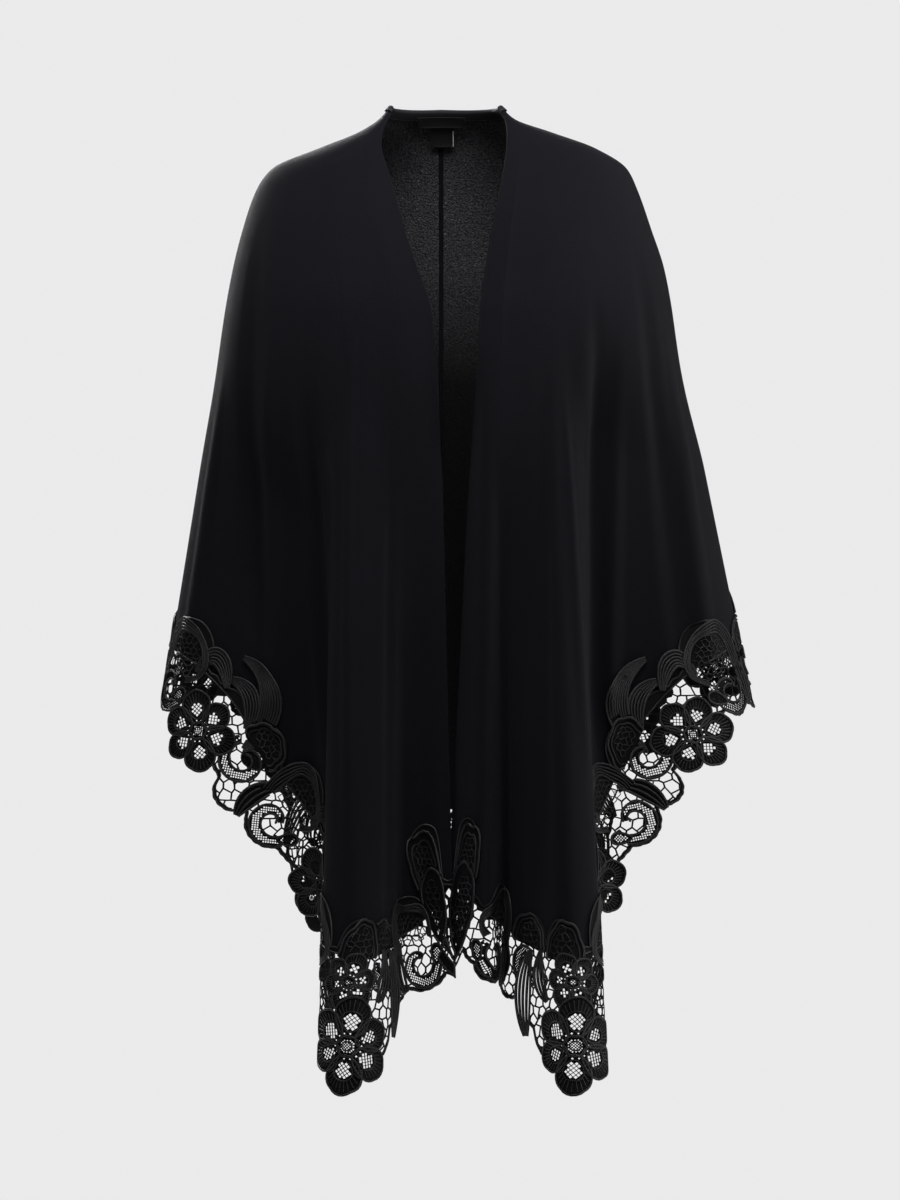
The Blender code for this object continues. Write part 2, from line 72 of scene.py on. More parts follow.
# Sizes that follow the solids, so that every piece nests on them
KNIT_WALL = 0.0018
SEAM_GAP = 0.0003
CENTRE_BACK_X = -0.009
LEAVE_LENGTH = 0.16
ROUNDNESS = 2.3
NECK_RISE_REACH = 0.03
STRAIGHT_END = 0.05
LACE_OVERLAP = 0.004
BAND_INNER, BAND_OUTER, BAND_WALL, BAND_GAP = 0.007, 0.004, 0.0012, 0.0006

# How far the fronts of the lace and the knit reach past the solids, and between which heights that grows
FRONT_REACH, KNIT_REACH = 0.020, 0.017
REACH_TOP, REACH_FULL = -0.22, -0.38

# Flat measuring: points between two fold lines, points along the hem, and half width of its smoothing
LINE_STEPS, HEM_STEPS, HEM_SOFT = 60, 400, 30

# Neck band: points along each side, how far its ends sink, and the pitch and length of its stitches
BAND_STEPS, BAND_SINK, STITCH_PITCH, STITCH_LENGTH = 60, 0.0022, 0.0034, 0.0023

# Back seam: how far each rolled edge lies from the centre, and its radius
SEAM_SHIFT, SEAM_RADIUS = 0.0011, 0.0012

# Labels: their wall, how much a folded edge adds and how far the lower end curls
LABEL_WALL, LABEL_FOLD, LABEL_CURL = 0.0006, 0.00025, 0.0007

# Room between two layers of cloth, besides the seam gap
CLEAR = 0.0002

SHARP_ANGLE = math.radians(55)

# Lace: solid cloth inside its edge, spacing of spare points, how uneven the open ground and the relief are,
# the drop below the knit from which a flower is a deep one, the length between two flowers from which it
# gets a shell and a scroll, where that shell is in it, and half the width of an eyelet
SOLID_RIM, SPARE_STEP = 0.0034, 0.006
GROUND_UNEVEN, RELIEF_UNEVEN = 0.36, 0.42
DEEP, WIDE, SHELL_AT = 0.07, 0.1, 0.40
EYELET = 0.00105
DIAMOND = np.array([[1, 0], [0, 1], [-1, 0], [0, -1]])

# Factors that scatter the corners of the uneven nets, the same on each run
SCATTER = (12.9898, 78.233, 43758.5453)

LEVEL_COLUMNS = ("height", "left_half", "right_half", "left_edge", "right_edge", "front", "back")
LEVELS = (
    (0.000, 0.060, 0.051, 0.0570, 0.0485, 0.010, 0.056),
    (-0.012, 0.071, 0.065, 0.0630, 0.0560, 0.022, 0.066),
    (-0.025, 0.092, 0.103, 0.0680, 0.0575, 0.034, 0.075),
    (-0.040, 0.130, 0.145, 0.0690, 0.0570, 0.046, 0.083),
    (-0.060, 0.177, 0.176, 0.0640, 0.0545, 0.060, 0.092),
    (-0.080, 0.192, 0.186, 0.0580, 0.0510, 0.073, 0.099),
    (-0.120, 0.206, 0.200, 0.0470, 0.0430, 0.097, 0.108),
    (-0.160, 0.216, 0.213, 0.0350, 0.0360, 0.115, 0.113),
    (-0.210, 0.225, 0.222, 0.0185, 0.0300, 0.131, 0.115),
    (-0.300, 0.237, 0.232, 0.0110, 0.0260, 0.141, 0.113),
    (-0.450, 0.260, 0.248, 0.0105, 0.0160, 0.146, 0.116),
    (-0.600, 0.290, 0.280, 0.0105, 0.0080, 0.150, 0.122),
    (-1.000, 0.340, 0.330, 0.0105, 0.0060, 0.155, 0.135),
)

FOLD_COLUMNS = ("name", "round", "start", "x", "y", "low", "knit")
FOLDS = {
    "left": (
        ("front edge", 0.000, -0.20, 0.0100, -0.135, -0.90, -0.765),
        ("recess inner", 0.080, -0.24, 0.0300, -0.118, -0.90, -0.805),
        ("recess outer", 0.150, -0.26, 0.0480, -0.126, -0.90, -0.815),
        ("tube inner", 0.232, -0.22, 0.0640, -0.178, -0.90, -0.822),
        ("tube crest", 0.320, -0.20, 0.0920, -0.206, -0.90, -0.830),
        ("tube outer", 0.427, -0.20, 0.1235, -0.176, -0.90, -0.820),
        ("behind tube", 0.518, -0.24, 0.1090, -0.104, -0.90, -0.752),
        ("side valley", 0.632, -0.26, 0.1270, -0.062, -0.80, -0.708),
        ("side front", 0.768, -0.24, 0.1720, -0.058, -0.70, -0.654),
        ("side crest", 0.890, -0.22, 0.2180, -0.056, -0.60, -0.585),
        ("arm front", 0.965, -0.20, 0.2620, -0.036, -0.60, -0.548),
        ("arm", 1.000, -0.20, 0.2880, 0.004, -0.60, -0.530),
        ("arm back", 1.060, -0.20, 0.2660, 0.046, -0.60, -0.517),
        ("back side", 1.160, -0.22, 0.2240, 0.078, -0.60, -0.514),
        ("back valley", 1.300, -0.26, 0.1760, 0.084, -0.75, -0.554),
        ("back fold outer", 1.420, -0.24, 0.1500, 0.146, -0.85, -0.632),
        ("back fold crest", 1.540, -0.22, 0.1120, 0.164, -0.85, -0.712),
        ("back fold inner", 1.660, -0.24, 0.0820, 0.122, -0.85, -0.732),
        ("back middle", 1.780, -0.26, 0.0540, 0.112, -0.85, -0.714),
        ("back soft fold", 1.890, -0.28, 0.0330, 0.136, -0.85, -0.698),
        ("centre back", 2.000, -0.30, 0.0090, 0.124, -0.85, -0.690),
    ),
    "right": (
        ("front edge", 0.000, -0.20, 0.0050, -0.138, -0.90, -0.760),
        ("strip crest", 0.050, -0.26, 0.0350, -0.170, -0.90, -0.792),
        ("strip back", 0.110, -0.28, 0.0520, -0.118, -0.90, -0.806),
        ("panel inner", 0.238, -0.26, 0.0770, -0.150, -0.90, -0.818),
        ("tube crest", 0.370, -0.22, 0.1150, -0.202, -0.90, -0.830),
        ("tube outer", 0.450, -0.20, 0.1470, -0.176, -0.90, -0.820),
        ("behind tube", 0.530, -0.22, 0.1290, -0.102, -0.90, -0.746),
        ("side valley", 0.630, -0.18, 0.1480, -0.060, -0.80, -0.694),
        ("side front", 0.750, -0.20, 0.1880, -0.056, -0.65, -0.612),
        ("side crest", 0.870, -0.22, 0.2360, -0.056, -0.60, -0.564),
        ("arm front", 0.955, -0.20, 0.2800, -0.036, -0.60, -0.541),
        ("arm", 1.000, -0.20, 0.3030, 0.004, -0.60, -0.530),
        ("arm back", 1.070, -0.20, 0.2790, 0.048, -0.60, -0.516),
        ("back side", 1.180, -0.22, 0.2180, 0.080, -0.60, -0.513),
        ("back valley", 1.310, -0.25, 0.1660, 0.086, -0.75, -0.558),
        ("back fold outer", 1.440, -0.22, 0.1400, 0.150, -0.85, -0.640),
        ("back fold crest", 1.550, -0.20, 0.1000, 0.168, -0.85, -0.716),
        ("back fold inner", 1.680, -0.24, 0.0700, 0.126, -0.85, -0.730),
        ("back middle", 1.800, -0.28, 0.0400, 0.112, -0.85, -0.710),
        ("back soft fold", 1.910, -0.30, 0.0160, 0.132, -0.85, -0.697),
        ("centre back", 2.000, -0.30, -0.0090, 0.124, -0.85, -0.690),
    ),
}

# Each flower's distance along the knit's end from the front edge, its drop below it, its radius and its turn
FLOWERS = {
    "left": (
        (0.157, 0.086, 0.046, 24),
        (0.305, 0.043, 0.038, 35),
        (0.500, 0.045, 0.040, 28),
        (0.690, 0.043, 0.038, 22),
        (0.855, 0.044, 0.039, 36),
        (0.985, 0.074, 0.042, 30),
    ),
    "right": (
        (0.200, 0.086, 0.046, 38),
        (0.345, 0.043, 0.038, 26),
        (0.530, 0.045, 0.040, 33),
        (0.725, 0.043, 0.038, 25),
        (0.900, 0.044, 0.039, 31),
        (1.035, 0.074, 0.042, 27),
    ),
}
LENGTHS = ("front", "side", "back")

# Soft creases laid over the folds. The line, the half width and the drift are in line numbers
CREASE_GAIN, CREASE_IN, CREASE_PAST, CREASE_OUT = 1.6, 2.2, 1.25, 3
CREASE_COLUMNS = ("line", "top", "bottom", "depth", "half", "drift")
CREASES = {
    "left": (
        (2.6, -0.30, -0.80, -0.0022, 0.35, 0.20),
        (4.5, -0.20, -0.66, 0.0020, 0.30, -0.25),
        (6.6, -0.20, -0.62, -0.0040, 0.50, -0.40),
        (7.7, -0.16, -0.58, 0.0035, 0.45, 0.30),
        (8.8, -0.10, -0.50, -0.0035, 0.50, -0.50),
        (9.9, -0.24, -0.56, 0.0028, 0.35, 0.25),
        (12.4, -0.10, -0.48, -0.0040, 0.50, 0.40),
        (13.7, -0.18, -0.53, 0.0036, 0.40, -0.30),
        (15.0, -0.14, -0.50, -0.0038, 0.45, 0.30),
        (17.4, -0.22, -0.68, 0.0030, 0.40, -0.20),
        (18.6, -0.26, -0.66, -0.0030, 0.45, 0.25),
    ),
    "right": (
        (2.4, -0.34, -0.78, 0.0020, 0.30, 0.15),
        (3.6, -0.22, -0.72, -0.0026, 0.40, -0.20),
        (4.5, -0.26, -0.60, 0.0018, 0.25, 0.20),
        (6.5, -0.16, -0.60, -0.0040, 0.50, 0.35),
        (7.6, -0.22, -0.58, 0.0030, 0.40, -0.30),
        (8.7, -0.12, -0.52, -0.0038, 0.50, 0.40),
        (9.8, -0.20, -0.54, 0.0030, 0.40, -0.25),
        (12.5, -0.12, -0.47, -0.0042, 0.55, -0.35),
        (13.8, -0.20, -0.54, 0.0034, 0.40, 0.30),
        (15.2, -0.16, -0.52, -0.0034, 0.45, -0.25),
        (17.5, -0.24, -0.66, 0.0028, 0.40, 0.20),
        (18.7, -0.20, -0.64, -0.0032, 0.45, -0.25),
    ),
}


# Settings


class CapeKnitSettings(bpy.types.PropertyGroup):
    columns: IntProperty(
        name="Columns", description="Columns of the cloth between two fold lines", default=11, min=4
    )
    rows: IntProperty(
        name="Rows", description="Rows of the cloth from the neck to the hem", default=150, min=20
    )
    edge_cord: FloatProperty(
        name="Edge", description="Radius of the rolled front edge", default=0.0013, unit="LENGTH"
    )
    colour: FloatVectorProperty(
        name="Colour",
        description="Colour of the knit's face",
        default=(0.0031, 0.0028, 0.0042),
        subtype="COLOR",
    )
    reverse: FloatVectorProperty(
        name="Reverse",
        description="Colour of the pebbled reverse",
        default=(0.0225, 0.0227, 0.0244),
        subtype="COLOR",
    )
    wales: FloatProperty(name="Wales", description="Columns of stitches in a metre", default=620)
    courses: FloatProperty(name="Courses", description="Rows of stitches in a metre", default=800)


class CapeLaceSettings(bpy.types.PropertyGroup):
    wall: FloatProperty(name="Thickness", description="Thickness of the net", default=0.0008, unit="LENGTH")
    ground: FloatProperty(
        name="Ground", description="Pitch of the open ground", default=0.0108, unit="LENGTH"
    )
    ground_bar: FloatProperty(
        name="Bars", description="Width of the ground's bars", default=0.0016, unit="LENGTH"
    )
    net: FloatProperty(
        name="Fine net", description="Pitch of the net in petals", default=0.0042, unit="LENGTH"
    )
    net_bar: FloatProperty(
        name="Net bars", description="Width of the fine net's bars", default=0.0009, unit="LENGTH"
    )
    cord: FloatProperty(name="Cord", description="Radius of the raised cords", default=0.0010, unit="LENGTH")
    colour: FloatVectorProperty(
        name="Thread",
        description="Colour of the satin thread",
        default=(0.0022, 0.0021, 0.0026),
        subtype="COLOR",
    )


class CapeStudioSettings(bpy.types.PropertyGroup):
    backdrop: FloatVectorProperty(
        name="Backdrop", description="Colour behind the cape", default=(0.827, 0.827, 0.831), subtype="COLOR"
    )
    distance: FloatProperty(name="Distance", description="From camera to cape", default=4.5, unit="LENGTH")
    eye_height: FloatProperty(
        name="Camera height", description="Below the shoulders", default=-0.490, unit="LENGTH"
    )
    lens: FloatProperty(name="Lens", description="Focal length in millimetres", default=135.0)
    floor: FloatProperty(name="Floor", description="Height of the floor", default=-1.42, unit="LENGTH")


# Shape


def smooth(knots, values, at):
    """A cubic through the knots, which rise, that never overshoots them."""
    at = np.clip(at, knots[0], knots[-1])
    step = np.diff(knots)
    slope = np.diff(values) / step
    m = np.empty(len(knots))
    m[0], m[-1] = slope[0], slope[-1]
    same = slope[:-1] * slope[1:] > 0
    m[1:-1] = np.where(same, 2 * slope[:-1] * slope[1:] / np.where(same, slope[:-1] + slope[1:], 1), 0)
    i = np.clip(np.searchsorted(knots, at) - 1, 0, len(knots) - 2)
    t = (at - knots[i]) / step[i]
    first = values[i] * (1 + 2 * t) * (1 - t) ** 2 + values[i + 1] * t * t * (3 - 2 * t)
    return first + step[i] * (m[i] * t * (1 - t) ** 2 + m[i + 1] * t * t * (t - 1))


def picked(rows, i):
    """For each point, the entry of the row whose number is in i."""
    return np.take_along_axis(rows, i[None, ..., None], 0)[0]


def ease(t):
    """A smooth way from 0 to 1."""
    t = np.clip(t, 0, 1)
    return t * t * (3 - 2 * t)


def walked(points):
    """The distance walked along a line of points, at each of them."""
    return np.concatenate([[0], np.cumsum(np.linalg.norm(np.diff(points, axis=0), axis=1))])


class Panel:
    """One panel as a surface: line number p runs from the front edge to the centre back, z is the height."""

    def __init__(self, side):
        self.side = side
        self.sign = -1 if side == "left" else 1
        self.seam_x = self.sign * CENTRE_BACK_X + SEAM_GAP / 2
        self.levels = dict(zip(LEVEL_COLUMNS, np.array(LEVELS)[::-1].T))
        self.folds = [dict(zip(FOLD_COLUMNS, row)) for row in FOLDS[side]]
        self.creases = [dict(zip(CREASE_COLUMNS, row)) for row in CREASES[side]]
        self.count = len(self.folds)
        self.rounds = np.array([row["round"] for row in self.folds])
        self.knits = np.array([row["knit"] for row in self.folds])
        self.lay_flat()

    def level(self, column, z):
        return smooth(self.levels["height"], self.levels[column], z)

    def form(self, turn, z):
        """The form in plan: a rounded section from the front edge round the arm to the centre back."""
        half = self.level(f"{self.side}_half", z)
        front = turn <= 1
        inner = self.level(f"{self.side}_edge", z) if front else self.seam_x + 0 * half
        share = turn if front else 2 - turn
        depth = -self.level("front", z) if front else self.level("back", z)
        x = inner + (half - inner) * share
        y = depth * (1 - share**ROUNDNESS) ** (1 / ROUNDNESS)
        return np.stack([x, y], -1)

    def line(self, row, z):
        """A fold line in plan: on the form at the top, straight down to its hem point below."""
        left_at = self.form(row["round"], np.array(row["start"]))
        low = np.array([self.seam_x if row["round"] == 2 else row["x"], row["y"]])
        run = ((row["start"] - z) / (row["start"] - row["low"]))[..., None]
        straight = left_at + (low - left_at) * run
        r = ease((row["start"] - z) / LEAVE_LENGTH)[..., None]
        return self.form(row["round"], z) * (1 - r) + straight * r

    def at(self, p, z):
        """Points of the surface, as an array of (x, y, z)."""
        p, z = np.broadcast_arrays(np.asarray(p, float), np.asarray(z, float))
        q = np.stack([self.line(row, np.minimum(z, 0)) for row in self.folds])
        i = np.clip(np.floor(p).astype(int), 0, self.count - 2)
        t = np.clip(p - i, 0, 1)[..., None]
        chord = np.linalg.norm(np.diff(q, axis=0), axis=-1)[..., None] + 1e-9
        m = np.empty_like(q)
        m[0], m[-1] = (q[1] - q[0]) / chord[0], (q[-1] - q[-2]) / chord[-1]
        m[1:-1] = (q[2:] - q[:-2]) / (chord[1:] + chord[:-1])
        m[-1, ..., 1] = 0
        a, b, c = picked(q, i), picked(q, i + 1), picked(chord, i)
        ma, mb = picked(m, i) * c, picked(m, i + 1) * c
        plan = a * (1 + 2 * t) * (1 - t) ** 2 + b * t * t * (3 - 2 * t)
        plan = plan + ma * (t * (1 - t) ** 2 + np.minimum(p, 0)[..., None]) + mb * t * t * (t - 1)
        turn = np.interp(p, np.arange(self.count), self.rounds)
        rise = 0.0015 - 0.0025 * np.clip(1 - turn, 0, 1) ** 1.5 + 0.0020 * np.clip(turn - 1, 0, 1)
        height = z + rise * np.exp(z / NECK_RISE_REACH)
        return np.stack([self.sign * plan[..., 0], plan[..., 1], height], -1)

    def normal(self, p, z):
        """Unit normals that face away from the body."""
        top, end, e = 1e-3, self.count - 1, 2e-3
        p = np.clip(p, 0, end)
        along = self.at(np.clip(p + e, 0, end), z) - self.at(np.clip(p - e, 0, end), z)
        down = self.at(p, np.minimum(z, -top) - e) - self.at(p, np.minimum(z, -top) + top)
        n = np.cross(down, along) * self.sign
        n[p > end - 1e-6, 0] = 0
        return n / np.linalg.norm(n, axis=-1, keepdims=True)

    def crease(self, p, z):
        """How far the soft creases lift or sink the cloth."""
        lift = np.zeros(np.shape(p))
        for row in self.creases:
            run = (row["top"] - z) / (row["top"] - row["bottom"])
            centre = row["line"] + row["drift"] * run
            across = np.clip(1 - ((p - centre) / row["half"]) ** 2, 0, 1) ** 2
            fade = ease(run * CREASE_IN) * ease((CREASE_PAST - run) * CREASE_OUT)
            lift = lift + CREASE_GAIN * row["depth"] * across * fade
        return lift

    def skin(self, p, z, offset):
        """Points at a distance from the wall's middle, along the normals, with the creases."""
        n = self.normal(p, z)
        return self.at(p, z) + n * (self.crease(p, z) + offset)[..., None], n

    def knit_at(self, p):
        return smooth(np.arange(self.count, dtype=float), self.knits, p)

    def lay_flat(self):
        """Flat coordinates: X is the length along the knit's end from the front edge, Z stays the height."""
        self.fine = np.linspace(0, self.count - 1, LINE_STEPS * (self.count - 1) + 1)
        hem = self.knit_at(self.fine)
        a, b = self.at(self.fine[:-1], hem[:-1]), self.at(self.fine[1:], hem[:-1])
        self.across = np.concatenate([[0], np.cumsum(np.linalg.norm(b - a, axis=-1))])
        self.width = self.across[-1]
        self.edge_rate = self.fine[9] / self.across[9]
        self.reach = walked(np.stack([self.across, hem], -1))
        self.length = self.reach[-1]
        grid = np.linspace(0, self.length, HEM_STEPS)
        x, z = np.interp(grid, self.reach, self.across), np.interp(grid, self.reach, hem)
        soft = np.hanning(2 * HEM_SOFT + 1)
        soft /= soft.sum()
        tx, tz = (np.convolve(np.pad(np.gradient(v), HEM_SOFT, mode="edge"), soft, "valid") for v in (x, z))
        tz = tz * np.clip(np.minimum(grid, self.length - grid) / STRAIGHT_END, 0, 1)
        size = np.hypot(tx, tz)
        self.hem = (grid, x, z, tz / size, -tx / size)

    def reached(self, p, z):
        """Line numbers with the front edge let out low down, where the two fronts pass each other."""
        out = KNIT_REACH * self.edge_rate * ease((REACH_TOP - z) / (REACH_TOP - REACH_FULL))
        return p - out * np.clip(1 - p, 0, 1)

    def line_of(self, across):
        """Line numbers of flat X. They go below zero past the front edge."""
        return np.interp(across, self.across, self.fine) + np.minimum(across, 0) * self.edge_rate

    def strip(self, s, t):
        """The lace's own coordinates, s along the knit's end and t out past it, to flat ones."""
        s, t = np.broadcast_arrays(np.asarray(s, float), np.asarray(t, float))
        grid, *rows = self.hem
        x, z, nx, nz = (np.interp(s, grid, row) for row in rows)
        return np.stack([np.clip(x + t * nx + np.minimum(s, 0), -FRONT_REACH, self.width), z + t * nz], -1)


PANELS = {}


def panel_of(side):
    """The panel of one side, measured once."""
    if side not in PANELS:
        PANELS[side] = Panel(side)
    return PANELS[side]


def unit(vectors):
    """The vectors, each one long."""
    return vectors / (np.linalg.norm(vectors, axis=1, keepdims=True) + 1e-12)


def ring_faces(count, sides, closed=False):
    """Faces from ring to ring of a tube, with a cap at each end unless it closes."""
    faces = []
    for k in range(count if closed else count - 1):
        a, b = k * sides, (k + 1) % count * sides
        faces += [(a + j, a + (j + 1) % sides, b + (j + 1) % sides, b + j) for j in range(sides)]
    if not closed:
        faces += [tuple(range(sides))[::-1], tuple((count - 1) * sides + j for j in range(sides))]
    return faces


class Surface:
    """Points, faces, flat coordinates and slots of one piece, gathered before it becomes a mesh."""

    def __init__(self):
        self.points, self.faces, self.uvs, self.slots, self.count = [], [], [], [], 0

    def add(self, points, faces, uvs, slot=0):
        self.points.append(np.asarray(points))
        self.uvs.append(np.asarray(uvs))
        self.faces += [tuple(int(i) + self.count for i in face) for face in faces]
        self.slots += [slot] * len(faces)
        self.count += len(points)

    def tube(self, points, normals, radius, slot=0, sides=6, ring=False, flatness=0.8):
        """A cord along the points, a little flattened against the cloth."""
        n = len(points)
        if n < 2:
            return
        if ring:
            ahead, behind = np.roll(points, -1, 0), np.roll(points, 1, 0)
        else:
            ahead, behind = np.append(points[1:], points[-1:], 0), np.append(points[:1], points[:-1], 0)
        along = unit(ahead - behind)
        side = unit(np.cross(along, normals))
        up = np.cross(side, along)
        size = np.broadcast_to(radius, (n,))[:, None, None]
        turn = np.arange(sides) * 2 * math.pi / sides
        across, above = np.cos(turn)[None, :, None], flatness * np.sin(turn)[None, :, None]
        rings = points[:, None] + size * (across * side[:, None] + above * up[:, None])
        uvs = np.stack([np.repeat(walked(points), sides), np.tile(turn * 0.001, n)], -1)
        self.add(rings.reshape(-1, 3), ring_faces(n, sides, ring), uvs, slot)

    def finish(self, name, materials):
        """Makes the piece, shaded smooth between its sharp edges, and puts it on the one body."""
        data = bpy.data.meshes.new(name)
        data.from_pydata(np.concatenate(self.points).tolist(), [], self.faces)
        for material in materials:
            data.materials.append(material)
        data.polygons.foreach_set("material_index", self.slots)
        layer = data.uv_layers.new(name="Cloth")
        corner = np.empty(len(data.loops), int)
        data.loops.foreach_get("vertex_index", corner)
        layer.data.foreach_set("uv", np.concatenate(self.uvs)[corner].astype(np.float32).ravel())
        data.shade_smooth()
        data.set_sharp_from_angle(angle=SHARP_ANGLE)
        data.update()
        piece = bpy.data.objects.new(name, data)
        bpy.context.scene.collection.objects.link(piece)
        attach(piece, "root")
        return piece


def grid_faces(rows, columns, flip=False):
    """Faces of a grid of points, numbered row by row."""
    faces = []
    for r in range(rows - 1):
        for a in range(r * columns, (r + 1) * columns - 1):
            face = (a, a + 1, a + columns + 1, a + columns)
            faces.append(face[::-1] if flip else face)
    return faces


def closed_wall(face, back, uvs, flip, back_slot):
    """A closed wall between two grids of points. Its face and its edges are slot 0."""
    rows, columns = face.shape[:2]
    size = rows * columns
    surface = Surface()
    surface.add(face.reshape(-1, 3), grid_faces(rows, columns, flip), uvs.reshape(-1, 2))
    surface.add(back.reshape(-1, 3), grid_faces(rows, columns, not flip), uvs.reshape(-1, 2), back_slot)
    number = np.arange(size).reshape(rows, columns)
    border = [number[0, :-1], number[:-1, -1], number[-1, :0:-1], number[:0:-1, 0]]
    border = np.concatenate(border).tolist()
    for a, b in zip(border, border[1:] + border[:1]):
        quad = (b, a, a + size, b + size)
        surface.faces.append(quad[::-1] if flip else quad)
        surface.slots.append(0)
    return surface


# Materials


def add_node(tree, kind, **values):
    """A shader node. A value named in_ and a socket's number or name is set or linked there."""
    made = tree.nodes.new(kind)
    for name, value in values.items():
        if not name.startswith("in_"):
            setattr(made, name, value)
            continue
        key = name[3:]
        socket = made.inputs[int(key) if key.isdigit() else key.replace("_", " ")]
        if isinstance(value, bpy.types.NodeSocket):
            tree.links.new(value, socket)
        else:
            socket.default_value = value
    return made


def math_node(tree, operation, a, b=0.0):
    return add_node(tree, "ShaderNodeMath", operation=operation, in_0=a, in_1=b).outputs[0]


def humps(tree, value):
    """One rounded hump for each whole step of a value."""
    part = math_node(tree, "FRACT", value)
    return math_node(tree, "SINE", math_node(tree, "MULTIPLY", part, math.pi))


def ramp(tree, value, low, high, start=0.0, end=1.0):
    """Takes a value's way from low to high to the way from start to end, and no further."""
    made = add_node(tree, "ShaderNodeMapRange", in_0=value, in_1=low, in_2=high, in_3=start, in_4=end)
    return made.outputs[0]


def noise(tree, place, scale, detail, roughness):
    made = add_node(
        tree, "ShaderNodeTexNoise", in_Vector=place, in_Scale=scale, in_Detail=detail, in_Roughness=roughness
    )
    return made.outputs[0]


def bump_node(tree, height, distance, strength):
    return add_node(tree, "ShaderNodeBump", in_Height=height, in_Distance=distance, in_Strength=strength)


def toned(colour, share):
    """A colour made darker or lighter."""
    return tuple(share * c for c in colour)


def new_group(name, inputs, outputs):
    """A shader node group that takes coordinates and values and gives values, and its two end nodes."""
    tree = bpy.data.node_groups.new(name, "ShaderNodeTree")
    tree.interface.new_socket("Coordinates", in_out="INPUT", socket_type="NodeSocketVector")
    for socket, default in inputs.items():
        made = tree.interface.new_socket(socket, in_out="INPUT", socket_type="NodeSocketFloat")
        made.default_value = default
    for socket in outputs:
        tree.interface.new_socket(socket, in_out="OUTPUT", socket_type="NodeSocketFloat")
    return tree, tree.nodes.new("NodeGroupInput"), tree.nodes.new("NodeGroupOutput")


def stitch_group():
    """Rows of small V-shaped knit stitches: their height, and a mask of the gaps between wales, which takes
    painted shade.
    """
    name = "Knit stitches"
    if name in bpy.data.node_groups:
        return bpy.data.node_groups[name]
    tree, start, end = new_group(name, {"Wales": 600.0, "Courses": 800.0}, ("Height", "Painted gap shade"))
    split = add_node(tree, "ShaderNodeSeparateXYZ", in_0=start.outputs["Coordinates"])
    u = math_node(tree, "MULTIPLY", split.outputs[0], start.outputs["Wales"])
    v = math_node(tree, "MULTIPLY", split.outputs[1], start.outputs["Courses"])
    across = math_node(tree, "ABSOLUTE", math_node(tree, "SUBTRACT", math_node(tree, "FRACT", u), 0.5))
    loop = humps(tree, math_node(tree, "ADD", v, math_node(tree, "MULTIPLY", across, 1.6)))
    wale = humps(tree, math_node(tree, "MULTIPLY", across, 2.0))
    loop, round_wale = math_node(tree, "POWER", loop, 0.6), math_node(tree, "POWER", wale, 0.5)
    tree.links.new(math_node(tree, "MULTIPLY", loop, round_wale), end.inputs["Height"])
    tree.links.new(math_node(tree, "SUBTRACT", 1.0, wale), end.inputs["Painted gap shade"])
    return tree


def fibre_group():
    """Loose fibres and uneven dye: a fine fleck, and a broad tone that changes over a hand's width."""
    name = "Wool fibres"
    if name in bpy.data.node_groups:
        return bpy.data.node_groups[name]
    tree, start, end = new_group(name, {"Fibre scale": 900.0}, ("Fleck", "Tone", "Fuzz"))
    place = start.outputs["Coordinates"]
    fleck = noise(tree, place, start.outputs["Fibre scale"], 2.0, 0.6)
    tree.links.new(ramp(tree, fleck, 0.62, 0.78), end.inputs["Fleck"])
    tree.links.new(noise(tree, place, 7.0, 3.0, 0.55), end.inputs["Tone"])
    tree.links.new(noise(tree, place, 260.0, 3.0, 0.7), end.inputs["Fuzz"])
    return tree


def thread_group():
    """Satin stitch: thin threads laid side by side across a cord."""
    name = "Satin threads"
    if name in bpy.data.node_groups:
        return bpy.data.node_groups[name]
    tree, start, end = new_group(name, {"Threads": 1800.0}, ("Height",))
    place = start.outputs["Coordinates"]
    split = add_node(tree, "ShaderNodeSeparateXYZ", in_0=place)
    waver = add_node(tree, "ShaderNodeTexNoise", in_Vector=place, in_Scale=300.0)
    run = math_node(tree, "MULTIPLY", split.outputs[0], start.outputs["Threads"])
    run = math_node(tree, "ADD", run, math_node(tree, "MULTIPLY", waver.outputs[0], 2.0))
    tree.links.new(humps(tree, run), end.inputs["Height"])
    return tree


def cloth_material(name, colour, roughness, sheen, sheen_roughness, specular):
    """A material with its constants on the shader's own sockets, and the coordinates that the effects use."""
    material = bpy.data.materials.new(name)
    material.use_nodes = True
    tree = material.node_tree
    shader = tree.nodes["Principled BSDF"]
    shader.inputs["Roughness"].default_value = roughness
    shader.inputs["Sheen Weight"].default_value = sheen
    shader.inputs["Sheen Roughness"].default_value = sheen_roughness
    shader.inputs["Sheen Tint"].default_value = (0.75, 0.78, 0.86, 1)
    shader.inputs["Specular IOR Level"].default_value = specular
    shader.inputs["Base Color"].default_value = (*colour, 1)
    place = tree.nodes.new("ShaderNodeTexCoord")
    return material, tree, shader, place.outputs["Object"], place.outputs["UV"]


def group_node(tree, group, place, **values):
    """A node that runs a group on some coordinates."""
    return add_node(tree, "ShaderNodeGroup", node_tree=group, in_Coordinates=place, **values).outputs


def mixed(tree, mask, low, high):
    """A colour between two, by a mask. Each is a colour or a socket."""
    low, high = (v if isinstance(v, bpy.types.NodeSocket) else (*v, 1) for v in (low, high))
    return add_node(tree, "ShaderNodeMix", data_type="RGBA", in_0=mask, in_6=low, in_7=high).outputs[2]


